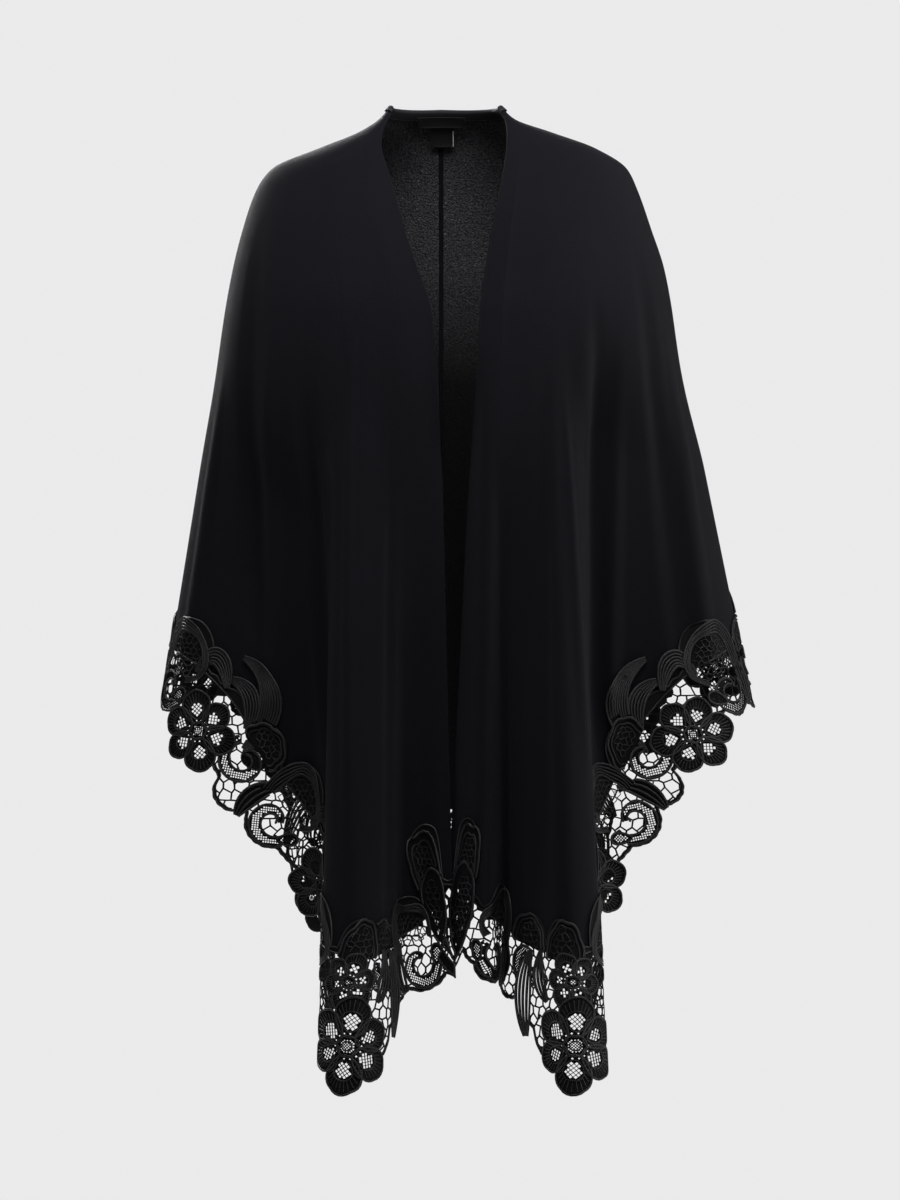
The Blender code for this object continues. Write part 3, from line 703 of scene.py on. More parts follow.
def knit_material(name, colour, wales, courses):
    """The knit's face: fine stitches, a soft nap, a faint heather and painted shade in the gaps between
    wales.
    """
    material, tree, shader, place, cloth = cloth_material(name, colour, 0.78, 0.014, 0.35, 0.05)
    stitches = group_node(tree, stitch_group(), cloth, in_Wales=wales, in_Courses=courses)
    fibres = group_node(tree, fibre_group(), place, in_Fibre_scale=1100.0)
    base = mixed(tree, fibres["Tone"], toned(colour, 0.72), toned(colour, 1.35))
    base = mixed(tree, math_node(tree, "MULTIPLY", fibres["Fleck"], 0.35), base, toned(colour, 3.2))
    # Painted shade: the gaps between wales are darkened towards half the knit's colour, where shade would
    # fall.
    base = mixed(tree, math_node(tree, "MULTIPLY", stitches["Painted gap shade"], 0.45), base, toned(colour, 0.5))
    tree.links.new(base, shader.inputs["Base Color"])
    near = bump_node(tree, stitches["Height"], 0.00045, 0.6)
    nap = bump_node(tree, fibres["Fuzz"], 0.0005, 0.5)
    tree.links.new(near.outputs[0], nap.inputs["Normal"])
    tree.links.new(nap.outputs[0], shader.inputs["Normal"])
    return material


def reverse_material(colour):
    """The knit's reverse: small pebbles, lighter on their tops as a painted highlight, with pale flecks, and
    darker low down as painted shade.
    """
    material, tree, shader, place, _ = cloth_material("Knit reverse", colour, 0.88, 0.02, 0.5, 0.08)
    pebbles = add_node(tree, "ShaderNodeTexVoronoi", in_Vector=place, in_Scale=620.0, feature="SMOOTH_F1")
    fibres = group_node(tree, fibre_group(), place, in_Fibre_scale=520.0)
    # Painted light: besides their bump, the pebbles are coloured lighter on their tops and darker in the
    # hollows between them.
    top = ramp(tree, pebbles.outputs["Distance"], 0.15, 0.62, 1.0, 0.0)
    base = mixed(tree, top, toned(colour, 0.45), toned(colour, 1.5))
    base = mixed(tree, fibres["Fleck"], base, toned(colour, 4.5))
    # Painted shade: between heights -0.15 m and -0.27 m the reverse darkens to near black, standing in for
    # the shade inside the cape.
    height = add_node(tree, "ShaderNodeSeparateXYZ", in_0=place)
    base = mixed(tree, ramp(tree, height.outputs[2], -0.15, -0.27, 0.0, 0.95), base, toned(colour, 0.07))
    tree.links.new(base, shader.inputs["Base Color"])
    tree.links.new(bump_node(tree, top, 0.0009, 0.8).outputs[0], shader.inputs["Normal"])
    return material


def thread_material(name, colour, roughness, threads, sheen, specular=0.42):
    """Lace thread, a little glossy along its lie."""
    material, tree, shader, place, cloth = cloth_material(name, colour, roughness, sheen, 0.3, specular)
    lie = group_node(tree, thread_group(), cloth, in_Threads=threads)
    fibres = group_node(tree, fibre_group(), place, in_Fibre_scale=1500.0)
    base = mixed(tree, fibres["Tone"], toned(colour, 0.6), toned(colour, 1.6))
    tree.links.new(base, shader.inputs["Base Color"])
    rough = ramp(tree, lie["Height"], 0.0, 1.0, roughness + 0.15, roughness - 0.08)
    tree.links.new(rough, shader.inputs["Roughness"])
    tree.links.new(bump_node(tree, lie["Height"], 0.0002, 0.7).outputs[0], shader.inputs["Normal"])
    return material


def tape_material(name, colour):
    """Close woven tape, for the neck band and the labels, with a painted highlight on its threads' tops and
    painted shade between them.
    """
    material, tree, shader, place, cloth = cloth_material(name, colour, 0.74, 0.006, 0.4, 0.10)
    lie = group_node(tree, thread_group(), cloth, in_Threads=2600.0)
    fibres = group_node(tree, fibre_group(), place, in_Fibre_scale=1400.0)
    # Painted light: the threads' tops are coloured lighter and the grooves between them darker, following the
    # same lie as the bump.
    base = mixed(tree, lie["Height"], toned(colour, 0.7), toned(colour, 1.25))
    base = mixed(tree, fibres["Fleck"], base, toned(colour, 1.8))
    tree.links.new(base, shader.inputs["Base Color"])
    tree.links.new(bump_node(tree, lie["Height"], 0.00015, 0.5).outputs[0], shader.inputs["Normal"])
    return material


# Lace


def circle(turn):
    """Points on the unit circle."""
    return np.stack([np.cos(turn), np.sin(turn)], -1)


def crosswise(way):
    """The direction a quarter turn on from another."""
    return np.array([-way[1], way[0]])


def oval(middle, way, length, width, around, swell=0.0):
    """Points round a middle: an oval along a way, wider at that end by the swell."""
    wide = width * np.sin(around) * (1 + swell * np.cos(around))
    return middle + (length * np.cos(around))[:, None] * way + wide[:, None] * crosswise(way)


def inside(points, ring):
    """Which points lie in a closed ring of (x, z)."""
    result = np.zeros(len(points), bool)
    low, high = ring.min(0), ring.max(0)
    near = np.flatnonzero(((points >= low) & (points <= high)).all(1))
    if not len(near):
        return result
    x, z = points[near, 0][:, None], points[near, 1][:, None]
    a, b = ring, np.roll(ring, -1, 0)
    cross = (a[:, 1] > z) != (b[:, 1] > z)
    rise = np.where(b[:, 1] == a[:, 1], 1, b[:, 1] - a[:, 1])
    result[near] = (cross & (x < a[:, 0] + (z - a[:, 1]) * (b[:, 0] - a[:, 0]) / rise)).sum(1) % 2 == 1
    return result


def in_any(points, rings):
    """Which points lie in at least one of the rings."""
    found = np.zeros(len(points), bool)
    for ring in rings:
        found |= inside(points, ring)
    return found


class Cells:
    """Many small convex cells of one size, and a quick test of which points lie in one."""

    def __init__(self, rings):
        self.rings = np.array(rings)
        self.tree = KDTree(max(1, len(rings)))
        for i, ring in enumerate(self.rings):
            self.tree.insert((*ring.mean(0), 0), i)
        self.tree.balance()

    def holds(self, points):
        if not len(self.rings):
            return np.zeros(len(points), bool)
        near = np.array([self.tree.find((x, z, 0))[1] for x, z in points])
        ring = self.rings[near]
        edge = np.roll(ring, -1, 1) - ring
        rel = points[:, None] - ring
        turn = edge[..., 0] * rel[..., 1] - edge[..., 1] * rel[..., 0]
        return (turn > 0).all(1) | (turn < 0).all(1)


def honeycomb(low, high, pitch, bar, uneven, within):
    """Six-sided cells of an uneven net, as rings, over a box where their middles lie in an outline."""
    half = np.array([pitch / 2, pitch / math.sqrt(12)])
    counts = ((high - low) / (pitch, 3 * half[1])).astype(int) + 2
    columns, rows = np.meshgrid(*(np.arange(count) for count in counts))
    centres = half * np.stack([2 * columns + rows % 2, 3 * rows], -1).reshape(-1, 2)
    centres = centres[inside(low + centres, within)]
    turn = np.radians(60 * np.arange(6) + 30)
    at = centres[:, None] + 2 * half[1] * circle(turn)
    key = np.round(at / half)
    phase = key[..., :1] * SCATTER[0] + key[..., 1:] * SCATTER[1] + np.array([0.0, 2.4])
    rings = low + at + uneven * pitch * ((np.sin(phase) * SCATTER[2]) % 1.0 - 0.5)
    middles = rings.mean(1, keepdims=True)
    spread = rings - middles
    size = np.linalg.norm(spread, axis=-1, keepdims=True)
    return middles + spread * (1 - 0.58 * bar / size)


def diamonds(centre, axis, reach, pitch, bar):
    """Four-sided cells of a fine net round a centre, turned to an axis."""
    across = crosswise(axis)
    corners = (pitch - bar) / 2 * np.array([axis, across, -axis, -across])
    count = 2 * (int(reach / pitch) + 1)
    numbers = range(-count, count + 1)
    steps = [(i, j) for i in numbers for j in numbers if (i + j) % 2 == 0]
    middles = [centre + 0.5 * pitch * (i * axis + j * across) for i, j in steps]
    return [at + corners for at in middles if np.linalg.norm(at - centre) < reach]


class Lace:
    """The border of one panel, laid out flat. Motifs that come first lie on top of later ones.

    The bare numbers of a motif are metres, or shares of its own size or of the cord's radius.
    """

    def __init__(self, panel, settings):
        self.panel, self.settings = panel, settings
        self.flowers = np.array(FLOWERS[panel.side])
        ends = np.concatenate([[0.0], self.flowers[:, 0], [panel.length]])
        self.between = [(a, b) for a, b in zip(ends, ends[1:])]
        self.lobes = [(0.012, 0.058, 0.026)]
        for along, drop, radius, _ in self.flowers:
            self.lobes.append((along, drop - 0.25 * radius, 0.80 * radius))
            if drop > DEEP:
                self.lobes += [(along - 0.030, 0.058, 0.024), (along + 0.032, 0.056, 0.024)]
        self.pods = [(0.010, 0.066, 0.017), (panel.length - 0.019, 0.050, 0.018)]
        self.pods += [(a - 0.006, 0.034 if drop > DEEP else 0.012, 0.022) for a, drop, _, _ in self.flowers]
        self.shells, self.curls = [], []
        for a, b in self.between:
            if b - a > WIDE:
                self.lobes += [(a + SHELL_AT * (b - a), 0.040, 0.022), (a + 0.62 * (b - a), 0.046, 0.019)]
                self.shells.append((a + SHELL_AT * (b - a), 0.038, 0.034))
                self.curls.append((a + 0.72 * (b - a), 0.026, 0.027))

    def depth(self, s):
        """How far the border reaches out past the knit's end."""
        out = np.full(np.shape(s), 0.050)
        for along, drop, radius in self.lobes:
            near = np.abs(s - along) < radius
            bulge = drop + np.sqrt(np.maximum(radius**2 - (s - along) ** 2, 0))
            out = np.where(near, np.maximum(out, bulge), out)
        return out + 0.0010 * np.abs(np.sin(math.pi * s / 0.0075))

    def rise(self, s):
        """How far the border climbs up over the knit."""
        up = LACE_OVERLAP + 0.002 * np.sin(s / 0.0045) ** 2
        for along, height, half in self.pods + self.shells + self.curls:
            lobe = height * np.sqrt(np.maximum(1 - ((s - along) / half) ** 2, 0))
            up = np.maximum(up, lobe)
        return up

    def outline(self, start, end, inner=0.0, step=0.0020):
        """The border's edge, or a line inside it that leaves out what lies on the knit."""
        s = np.linspace(start, end, max(4, round((end - start) / step)) + 1)
        upper = self.panel.strip(s, -self.rise(s)) if inner == 0 else self.panel.strip(s, 0 * s + 0.0015)
        return np.concatenate([upper, self.panel.strip(s, self.depth(s) - inner)[::-1]])

    def axes(self, s):
        """The directions along the knit's end and out past it."""
        grid, _, _, nx, nz = self.panel.hem
        out = np.array([np.interp(s, grid, nx), np.interp(s, grid, nz)])
        return np.array([-out[1], out[0]]), out

    def cord(self, path, radius, lift=0.0, ring=False, sides=6):
        """Keeps a cord along a flat path, less what lies under earlier motifs."""
        path = np.asarray(path)
        radius = np.broadcast_to(np.asarray(radius, float), (len(path),))
        hidden = in_any(path, self.above)
        if not hidden.any():
            self.waiting.append((path, radius, lift, ring, sides))
            return
        if ring:
            path, radius, hidden = (np.concatenate([v, v[:1]]) for v in (path, radius, hidden))
        for run in np.split(np.arange(len(path)), np.flatnonzero(np.diff(hidden.astype(int))) + 1):
            if len(run) > 1 and not hidden[run[0]]:
                self.waiting.append((path[run], radius[run], lift, False, sides))

    def holes(self, cells, ring, shrink=1.0):
        """Keeps the small cells that lie wholly in a ring and clear of earlier motifs."""
        if not cells:
            return
        cells = np.array(cells)
        middle = ring.mean(0)
        corners = cells.reshape(-1, 2)
        good = inside(corners, middle + shrink * (ring - middle)) & ~in_any(corners, self.above)
        self.fine += list(cells[good.reshape(-1, 4).all(1)])

    def close(self, rings):
        """Ends a motif: its rings are solid and hide what later motifs put under them."""
        self.above += rings

    def flower(self, s, t, turn, radius):
        """Six ribbed petals with a net at their feet, round a netted heart in a ring of eyelets."""
        axis, out = self.axes(s)
        centre = self.panel.strip(s, t)
        cord, pitch, bar = self.settings.cord, self.settings.net, self.settings.net_bar
        around = np.linspace(0, 2 * math.pi, 32, endpoint=False)
        scallop = 1 + 0.075 * np.abs(np.cos(2.5 * around)) * (np.cos(around) > -0.2)
        ribs = 0.30 * np.arange(-7, 8)
        rings = []
        for k in range(6):
            angle = math.radians(60 * k + turn)
            way = math.cos(angle) * axis + math.sin(angle) * out
            size = radius * (0.96 + 0.06 * math.sin(2.1 * k + turn))
            foot, head = centre + 0.50 * size * way, centre + 0.585 * size * way
            petal = oval(head, way, 0.40 * size * scallop, 0.335 * size * scallop, around, 0.16)
            net = oval(foot, way, 0.215 * size, 0.185 * size, around, 0.25)
            self.holes(diamonds(net.mean(0), way, 0.24 * size, pitch, bar), net, 0.96)
            self.cord(petal, 1.15 * cord, 0.0004, ring=True)
            self.cord(net[::2], 0.85 * cord, 0.0003, ring=True, sides=5)
            starts = oval(foot, way, 0.225 * size, 0.20 * size, ribs)
            ends = oval(head, way, 0.37 * size, 0.315 * size, ribs)
            for start, end in zip(starts, ends):
                self.cord(np.linspace(start, end, 3), 0.52 * cord, 0.0002, sides=5)
            rings.append(petal)
        heart = centre + 0.21 * radius * circle(around)
        eyelets = centre + 0.265 * radius * circle(2 * math.pi * np.arange(14) / 14)
        self.fine += [at + EYELET * DIAMOND for at in eyelets]
        self.holes(diamonds(centre, axis, 0.17 * radius, 0.0027, 0.0010), heart, 0.75)
        self.cord(heart, cord, 0.0007, ring=True)
        self.cord(centre + 0.45 * (heart - centre)[::2], 0.8 * cord, 0.0008, ring=True, sides=5)
        self.close(rings + [heart])

    def leaf(self, foot, bend, tip, half, strands=5):
        """A curved leaf of parallel strands with slits between them. Its three points are (s, t)."""
        steps = np.linspace(0, 1, 17)
        share = steps[:, None]
        foot, bend, tip = (np.array(v) for v in (foot, bend, tip))
        spine = (1 - share) ** 2 * foot + 2 * share * (1 - share) * bend + share**2 * tip
        run = unit(np.gradient(spine, axis=0))
        side = np.stack([-run[:, 1], run[:, 0]], -1)
        wide = half * np.sin(math.pi * (0.04 + 0.93 * steps)) ** 0.75 * (1.1 - 0.3 * steps)
        paths = []
        for k in np.linspace(-1, 1, strands):
            at = spine + (k * wide)[:, None] * side
            paths.append(self.panel.strip(*at.T))
        ring = np.concatenate([paths[0], paths[-1][::-1]])
        for one, two in zip(paths, paths[1:]):
            inset = 0.24 * (two - one)
            first, second = one + inset, two - inset
            slit = np.concatenate([first[2:-2], second[2:-2][::-1]])
            if not in_any(slit, self.above).any():
                self.slits.append(slit)
        for k, path in enumerate(paths):
            swell = 0.85 + 0.35 * np.sin(np.linspace(0, math.pi, len(path)))
            self.cord(path, self.settings.cord * swell * (1.2 if k in (0, strands - 1) else 0.95), 0.0005)
        self.close([ring])

    def shell(self, along, height, half):
        """Nested arcs that climb over the knit from the ground, round a patch of relief."""
        arc = np.radians(np.linspace(-38, 218, 30))
        cord = self.settings.cord
        swell = 0.8 + 0.3 * np.sin(np.linspace(0, math.pi, 30))
        paths = []
        for k, (share, thick) in enumerate(((0.97, 1.1), (0.91, 0.8), (0.85, 0.9), (0.79, 0.8), (0.73, 1.0))):
            wobble = 1 + 0.02 * np.sin(5 * arc + k)
            lean = 0.012 * np.sin(arc) ** 2 * share - 0.014 * (0.96 - share)
            s = along + half * share * wobble * np.cos(arc) + lean
            t = 0.004 - height * share * wobble * np.sin(arc) * np.where(np.sin(arc) > 0, 1.0, 0.75)
            paths.append(self.panel.strip(s, t))
            self.cord(paths[-1], cord * thick * swell, 0.0006)
        self.close([np.concatenate([paths[0], paths[-1][::-1]])])
        core = self.panel.strip(along + 0.68 * half * np.cos(arc), 0.002 - 0.68 * height * np.sin(arc))
        self.cell_relief(core, 0.0062, 0.60 * cord)

    def scroll(self, along, drop, hand):
        """A curled band with a net in it, between thick edges."""
        axis, out = self.axes(along)
        centre = self.panel.strip(along, drop)
        turn, share = np.linspace(-0.4, 1.75 * math.pi, 34), np.linspace(0, 1, 34)
        radius = 0.0215 * (1 - 0.62 * share**1.2)
        wide = 0.0066 * np.sin(math.pi * (0.10 + 0.82 * share)) ** 0.6 * (1 - 0.35 * share)
        way = hand * np.cos(turn)[:, None] * axis + np.sin(turn)[:, None] * out
        outer, inner = centre + (radius + wide)[:, None] * way, centre + (radius - wide)[:, None] * way
        cells = np.array(diamonds(centre, axis, 0.030, 0.0032, 0.0011))
        reach = np.linalg.norm(cells.mean(1)[:, None] - (centre + radius[:, None] * way), axis=-1)
        cells = cells[reach.min(1) < np.maximum(wide[reach.argmin(1)] - 0.0021, 0)]
        hidden = in_any(cells.reshape(-1, 2), self.above).reshape(-1, 4).any(1)
        self.fine += list(cells[~hidden])
        cord = self.settings.cord
        self.cord(outer, 1.35 * cord, 0.0005)
        self.cord(inner, 1.15 * cord, 0.0005)
        self.cord(inner[-1] + 0.0026 * circle(turn[:12]), 1.3 * cord, 0.0006)
        self.close([np.concatenate([outer, inner[::-1]])])

    def corner(self):
        """The dense end of the border at the front edge: a long netted tab with rows of small slits."""
        along, drop = 0.0125, 0.030
        around = np.radians(np.linspace(0, 360, 40, endpoint=False))
        scallop = 1 + 0.05 * np.abs(np.sin(4.5 * around))
        s, t = 0.0230 * np.cos(around) * scallop, 0.050 * np.sin(around) * scallop
        rim = self.panel.strip(along + s, drop + t)
        cord = self.settings.cord
        for row, place in enumerate((0.001, 0.012, 0.024)):
            for k in range(9):
                half = (0.0030, 0.0020, 0.0036)[(k + row) % 3]
                wide = (0.0009, 0.0013, 0.0007)[(2 * k + row) % 3]
                at = place + 0.002 * math.sin(2.1 * k + row)
                middle = -0.006 + 0.0088 * k + 0.003 * row
                self.fine.append(self.panel.strip(at + wide * DIAMOND[:, 1], middle - half * DIAMOND[:, 0]))
        self.cord(rim, 1.2 * cord, 0.0005, ring=True)
        self.cell_relief(self.panel.strip(along + 0.82 * s, drop + 0.86 * t), 0.0066, 0.6 * cord)
        self.close([rim])

    def cell_relief(self, ring, pitch, radius):
        """Raised threads round the uneven cells of a net, on solid cloth."""
        for cell in honeycomb(ring.min(0), ring.max(0), pitch, 0.0, RELIEF_UNEVEN, ring):
            if inside(cell, ring).all():
                thick = radius * (0.8 + 0.4 * math.sin(900 * cell[0, 0]) ** 2)
                self.cord(cell, thick, 0.0003, ring=True, sides=5)

    def pod(self, along, height, half):
        """A rounded pod of crossing threads that climbs over the knit."""
        arc = np.radians(np.linspace(-30, 210, 26))
        cord = self.settings.cord
        lobes = 0.96 + 0.09 * np.abs(np.sin(3.5 * arc + along * 40))
        lean = 0.006 * math.sin(70 * along)
        s = along + 0.90 * half * np.cos(arc) * lobes + lean * np.maximum(np.sin(arc), 0)
        t = -0.93 * height * np.sin(arc) * lobes
        t = np.where(t > 0, 0.5 * t, t)
        rim = self.panel.strip(s, t)
        self.cord(rim, 1.25 * cord, 0.0007)
        inner = self.panel.strip(along + 0.78 * (s - along), 0.86 * t)
        self.cord(inner, 0.8 * cord, 0.0005, sides=5)
        self.cell_relief(inner, 0.0066, 0.62 * cord)
        self.close([rim])

    def bud(self, s, t, turn, size):
        """A small netted petal that fills the ground."""
        axis, out = self.axes(s)
        way = math.cos(turn) * axis + math.sin(turn) * out
        around = np.linspace(0, 2 * math.pi, 16, endpoint=False)
        ring = oval(self.panel.strip(s, t), way, size, 0.55 * size, around, -0.35)
        self.holes(diamonds(ring.mean(0), way, size, 0.0030, 0.0011), ring, 0.74)
        self.cord(ring, 1.1 * self.settings.cord, 0.0004, ring=True)
        self.close([ring])

    def motifs(self, start, end):
        """Sets every motif of one length, the topmost first."""
        self.waiting, self.above, self.fine, self.slits = [], [], [], []
        flowers = [row for row in self.flowers if start <= row[0] < end]
        for s, t, radius, turn in flowers:
            self.flower(s, t, turn, radius)
        for s, t, radius, _ in flowers:
            if t > DEEP:
                self.leaf((s - 0.044, t + 0.006), (s - 0.064, 0.5 * t), (s - 0.052, 0.008), 0.0105)
                self.leaf((s - 0.022, 0.5 * t + 0.006), (s - 0.042, 0.4 * t), (s - 0.036, 0.003), 0.0080, 4)
                self.leaf((s + 0.046, t - 0.004), (s + 0.064, 0.5 * t), (s + 0.046, 0.006), 0.0105)
                self.flower(s + 0.002, 0.30 * t, 12, 0.60 * radius)
        for along, height, half in self.shells:
            if start <= along < end:
                self.shell(along, height, half)
        for k, (along, height, half) in enumerate(self.curls):
            if start <= along < end:
                self.scroll(along, 0.021, -1 if k % 2 else 1)
        if start < 0:
            self.corner()
        for along, height, half in self.pods + self.curls:
            if start <= along < end and height > 0.02:
                self.pod(along, height, half)
        for s, t, _, _ in flowers:
            if t < DEEP:
                self.leaf((s - 0.046, 0.016), (s - 0.036, -0.056), (s + 0.022, -0.038), 0.0120, 9)
                self.leaf((s + 0.014, -0.004), (s + 0.050, -0.040), (s + 0.052, 0.006), 0.0085, 6)
                self.leaf((s - 0.030, 0.004), (s - 0.012, -0.030), (s + 0.020, -0.012), 0.0085, 6)
        for a, b in self.between:
            length = b - a
            if start <= (a + b) / 2 < end and length > WIDE:
                foot, bend, tip = (a + share * length for share in (0.52, 0.60, 0.50))
                self.leaf((foot, 0.058), (bend, 0.030), (tip, 0.006), 0.0085, 4)
                self.bud(a + 0.29 * length, 0.036, 0.9, 0.0105)
                self.scroll(a + SHELL_AT * length, 0.036, 1 if int(a * 100) % 2 else -1)
                self.bud(a + 0.85 * length, 0.034, 2.2, 0.0100)
        for end_at, way in ((0.0, 1), (self.panel.length, -1)):
            if start <= end_at <= end:
                foot, bend, tip = (end_at + way * far for far in (0.020, 0.030, 0.014))
                self.leaf((foot, 0.056), (bend, 0.030), (tip, 0.006), 0.0085, 4)
        s = np.linspace(start + 0.0005, end - 0.0005, max(6, round((end - start) / 0.0020)))
        cord = self.settings.cord
        depth, rise = self.depth(s), self.rise(s)
        for t, thick, lift, sides in (
            (depth - 0.0010, 1.1, 0.0001, 6),
            (depth - 0.0038, 0.7, 0.0, 5),
            (-rise + 0.0010, 0.9, 0.0002, 5),
            (0.0006, 0.9, 0.0, 5),
        ):
            self.cord(self.panel.strip(s, t), thick * cord, lift, sides=sides)

    def cloth(self, start, end):
        """Flat points and triangles of one length's cloth, with every gap cut through."""
        settings = self.settings
        outline, inner = self.outline(start, end), self.outline(start, end, inner=SOLID_RIM)
        near_it = self.outline(start, end, inner=-0.008)
        low, high = outline.min(0) - 0.01, outline.max(0) + 0.01
        ground = honeycomb(low, high, settings.ground, settings.ground_bar, GROUND_UNEVEN, near_it)
        corners = ground.reshape(-1, 2)
        touching = inside(corners, inner).reshape(-1, 6).any(1)
        buried = in_any(corners, self.above).reshape(-1, 6).all(1)
        ground = ground[touching & ~buried]
        points, edges = [], []
        for loop in [outline, inner] + self.above + self.slits + self.fine + list(ground):
            first, count = len(points), len(loop)
            points += [tuple(v) for v in loop]
            edges += [(first + i, first + (i + 1) % count) for i in range(count)]
        spare = np.meshgrid(*(np.arange(a, b, SPARE_STEP) for a, b in zip(low, high)))
        spare = np.stack(spare, -1).reshape(-1, 2)
        points += [tuple(v) for v in spare[inside(spare, outline)]]
        flat, _, faces, _, _, _ = delaunay_2d_cdt(points, edges, [], 0, 1e-6, False)
        flat, faces = np.array([tuple(v) for v in flat]), np.array([list(f) for f in faces])
        centre = flat[faces].mean(1)
        motif = in_any(centre, self.above)
        cut = Cells(self.fine).holds(centre) | in_any(centre, self.slits)
        cut |= ~motif & inside(centre, inner) & Cells(ground).holds(centre)
        faces = faces[(inside(centre, outline) | motif) & ~cut]
        used, index = np.unique(faces, return_inverse=True)
        return flat[used], index.reshape(-1, 3)

    def build(self, name, start, end, materials):
        """One length of the border: its cut cloth, and the raised cords on it."""
        panel, wall = self.panel, self.settings.wall
        self.motifs(start, end)
        flat, faces = self.cloth(start, end)
        if panel.sign < 0:
            faces = faces[:, ::-1]
        near = KNIT_WALL / 2 + SEAM_GAP + CLEAR
        under, out = panel.skin(panel.line_of(flat[:, 0]), flat[:, 1], near)
        surface = Surface()
        surface.add(under + wall * out, faces, flat)
        surface.add(under, faces[:, ::-1], flat)
        count = len(flat)
        sides = {(a, b) for face in faces.tolist() for a, b in zip(face, face[1:] + face[:1])}
        rim = [(b, a, a + count, b + count) for a, b in sorted(sides) if (b, a) not in sides]
        surface.faces += rim
        surface.slots += [0] * len(rim)
        paths, thicks, lifts, rings, sides = zip(*self.waiting)
        lengths = [len(path) for path in paths]
        flat = np.concatenate(paths)
        lifts = near + wall + np.repeat(lifts, lengths)
        points, normals = panel.skin(panel.line_of(flat[:, 0]), flat[:, 1], lifts)
        ends = np.cumsum(lengths)[:-1]
        points, normals = np.split(points, ends), np.split(normals, ends)
        for q, n, thick, ring, count in zip(points, normals, thicks, rings, sides):
            surface.tube(q, n, thick, slot=1, sides=count, ring=ring)
        return surface.finish(name, materials)


# Operators


def knit_settings():
    return bpy.context.scene.cape_knit


def knit_face():
    """The knit's face material, made once."""
    if "Knit face" in bpy.data.materials:
        return bpy.data.materials["Knit face"]
    settings = knit_settings()
    return knit_material("Knit face", tuple(settings.colour), settings.wales, settings.courses)


class KNITCAPE_OT_panels(bpy.types.Operator):
    """Makes the two knit panels, each a thin wall with a smooth face and a pebbled reverse"""

    bl_idname = "knitcape.panels"
    bl_label = "Knit panels"

    def execute(self, context):
        settings = knit_settings()
        reverse = reverse_material(tuple(settings.reverse))
        for side in FOLDS:
            panel = panel_of(side)
            p = np.linspace(0, panel.count - 1, settings.columns * (panel.count - 1) + 1)
            share = np.linspace(0, 1, settings.rows) ** 1.25
            p, share = np.meshgrid(p, share)
            z = panel.knit_at(p) * share
            uv = np.stack([np.interp(p, panel.fine, panel.across), z], -1)
            lines = panel.reached(p, z)
            face, back = (panel.skin(lines, z, offset)[0] for offset in (KNIT_WALL / 2, -KNIT_WALL / 2))
            surface = closed_wall(face, back, uv, panel.sign < 0, 1)
            piece = surface.finish(f"knit_{side}", [knit_face(), reverse])
            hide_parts(f"{side}_panel")
            self.front_edge(panel, settings.edge_cord)
        return {"FINISHED"}

    def front_edge(self, panel, radius):
        """The front edge, rolled by one stitch."""
        z = np.linspace(-0.004, panel.knits[0] + 0.004, 150)
        points, normals = panel.skin(panel.reached(0.02, z), z, 0.0)
        surface = Surface()
        surface.tube(points, normals, radius, sides=8)
        piece = surface.finish(f"front_edge_{panel.side}", [knit_face()])


class KNITCAPE_OT_back_seam(bpy.types.Operator):
    """Makes the seam down the centre back, with its two turned edges on the inside"""

    bl_idname = "knitcape.back_seam"
    bl_label = "Back seam"

    def execute(self, context):
        surface = Surface()
        for side in FOLDS:
            panel = panel_of(side)
            z = np.linspace(-0.014, panel.knits[-1] + 0.004, 120)
            p = np.full(len(z), panel.count - 1.06)
            points, normals = panel.skin(p, z, -KNIT_WALL / 2 - 0.0004)
            points[:, 0] = CENTRE_BACK_X + panel.sign * SEAM_SHIFT + 0.0002 * np.sin(z * 240)
            surface.tube(points, normals, SEAM_RADIUS, sides=8)
        piece = surface.finish("back_seam", [knit_face()])
        return {"FINISHED"}


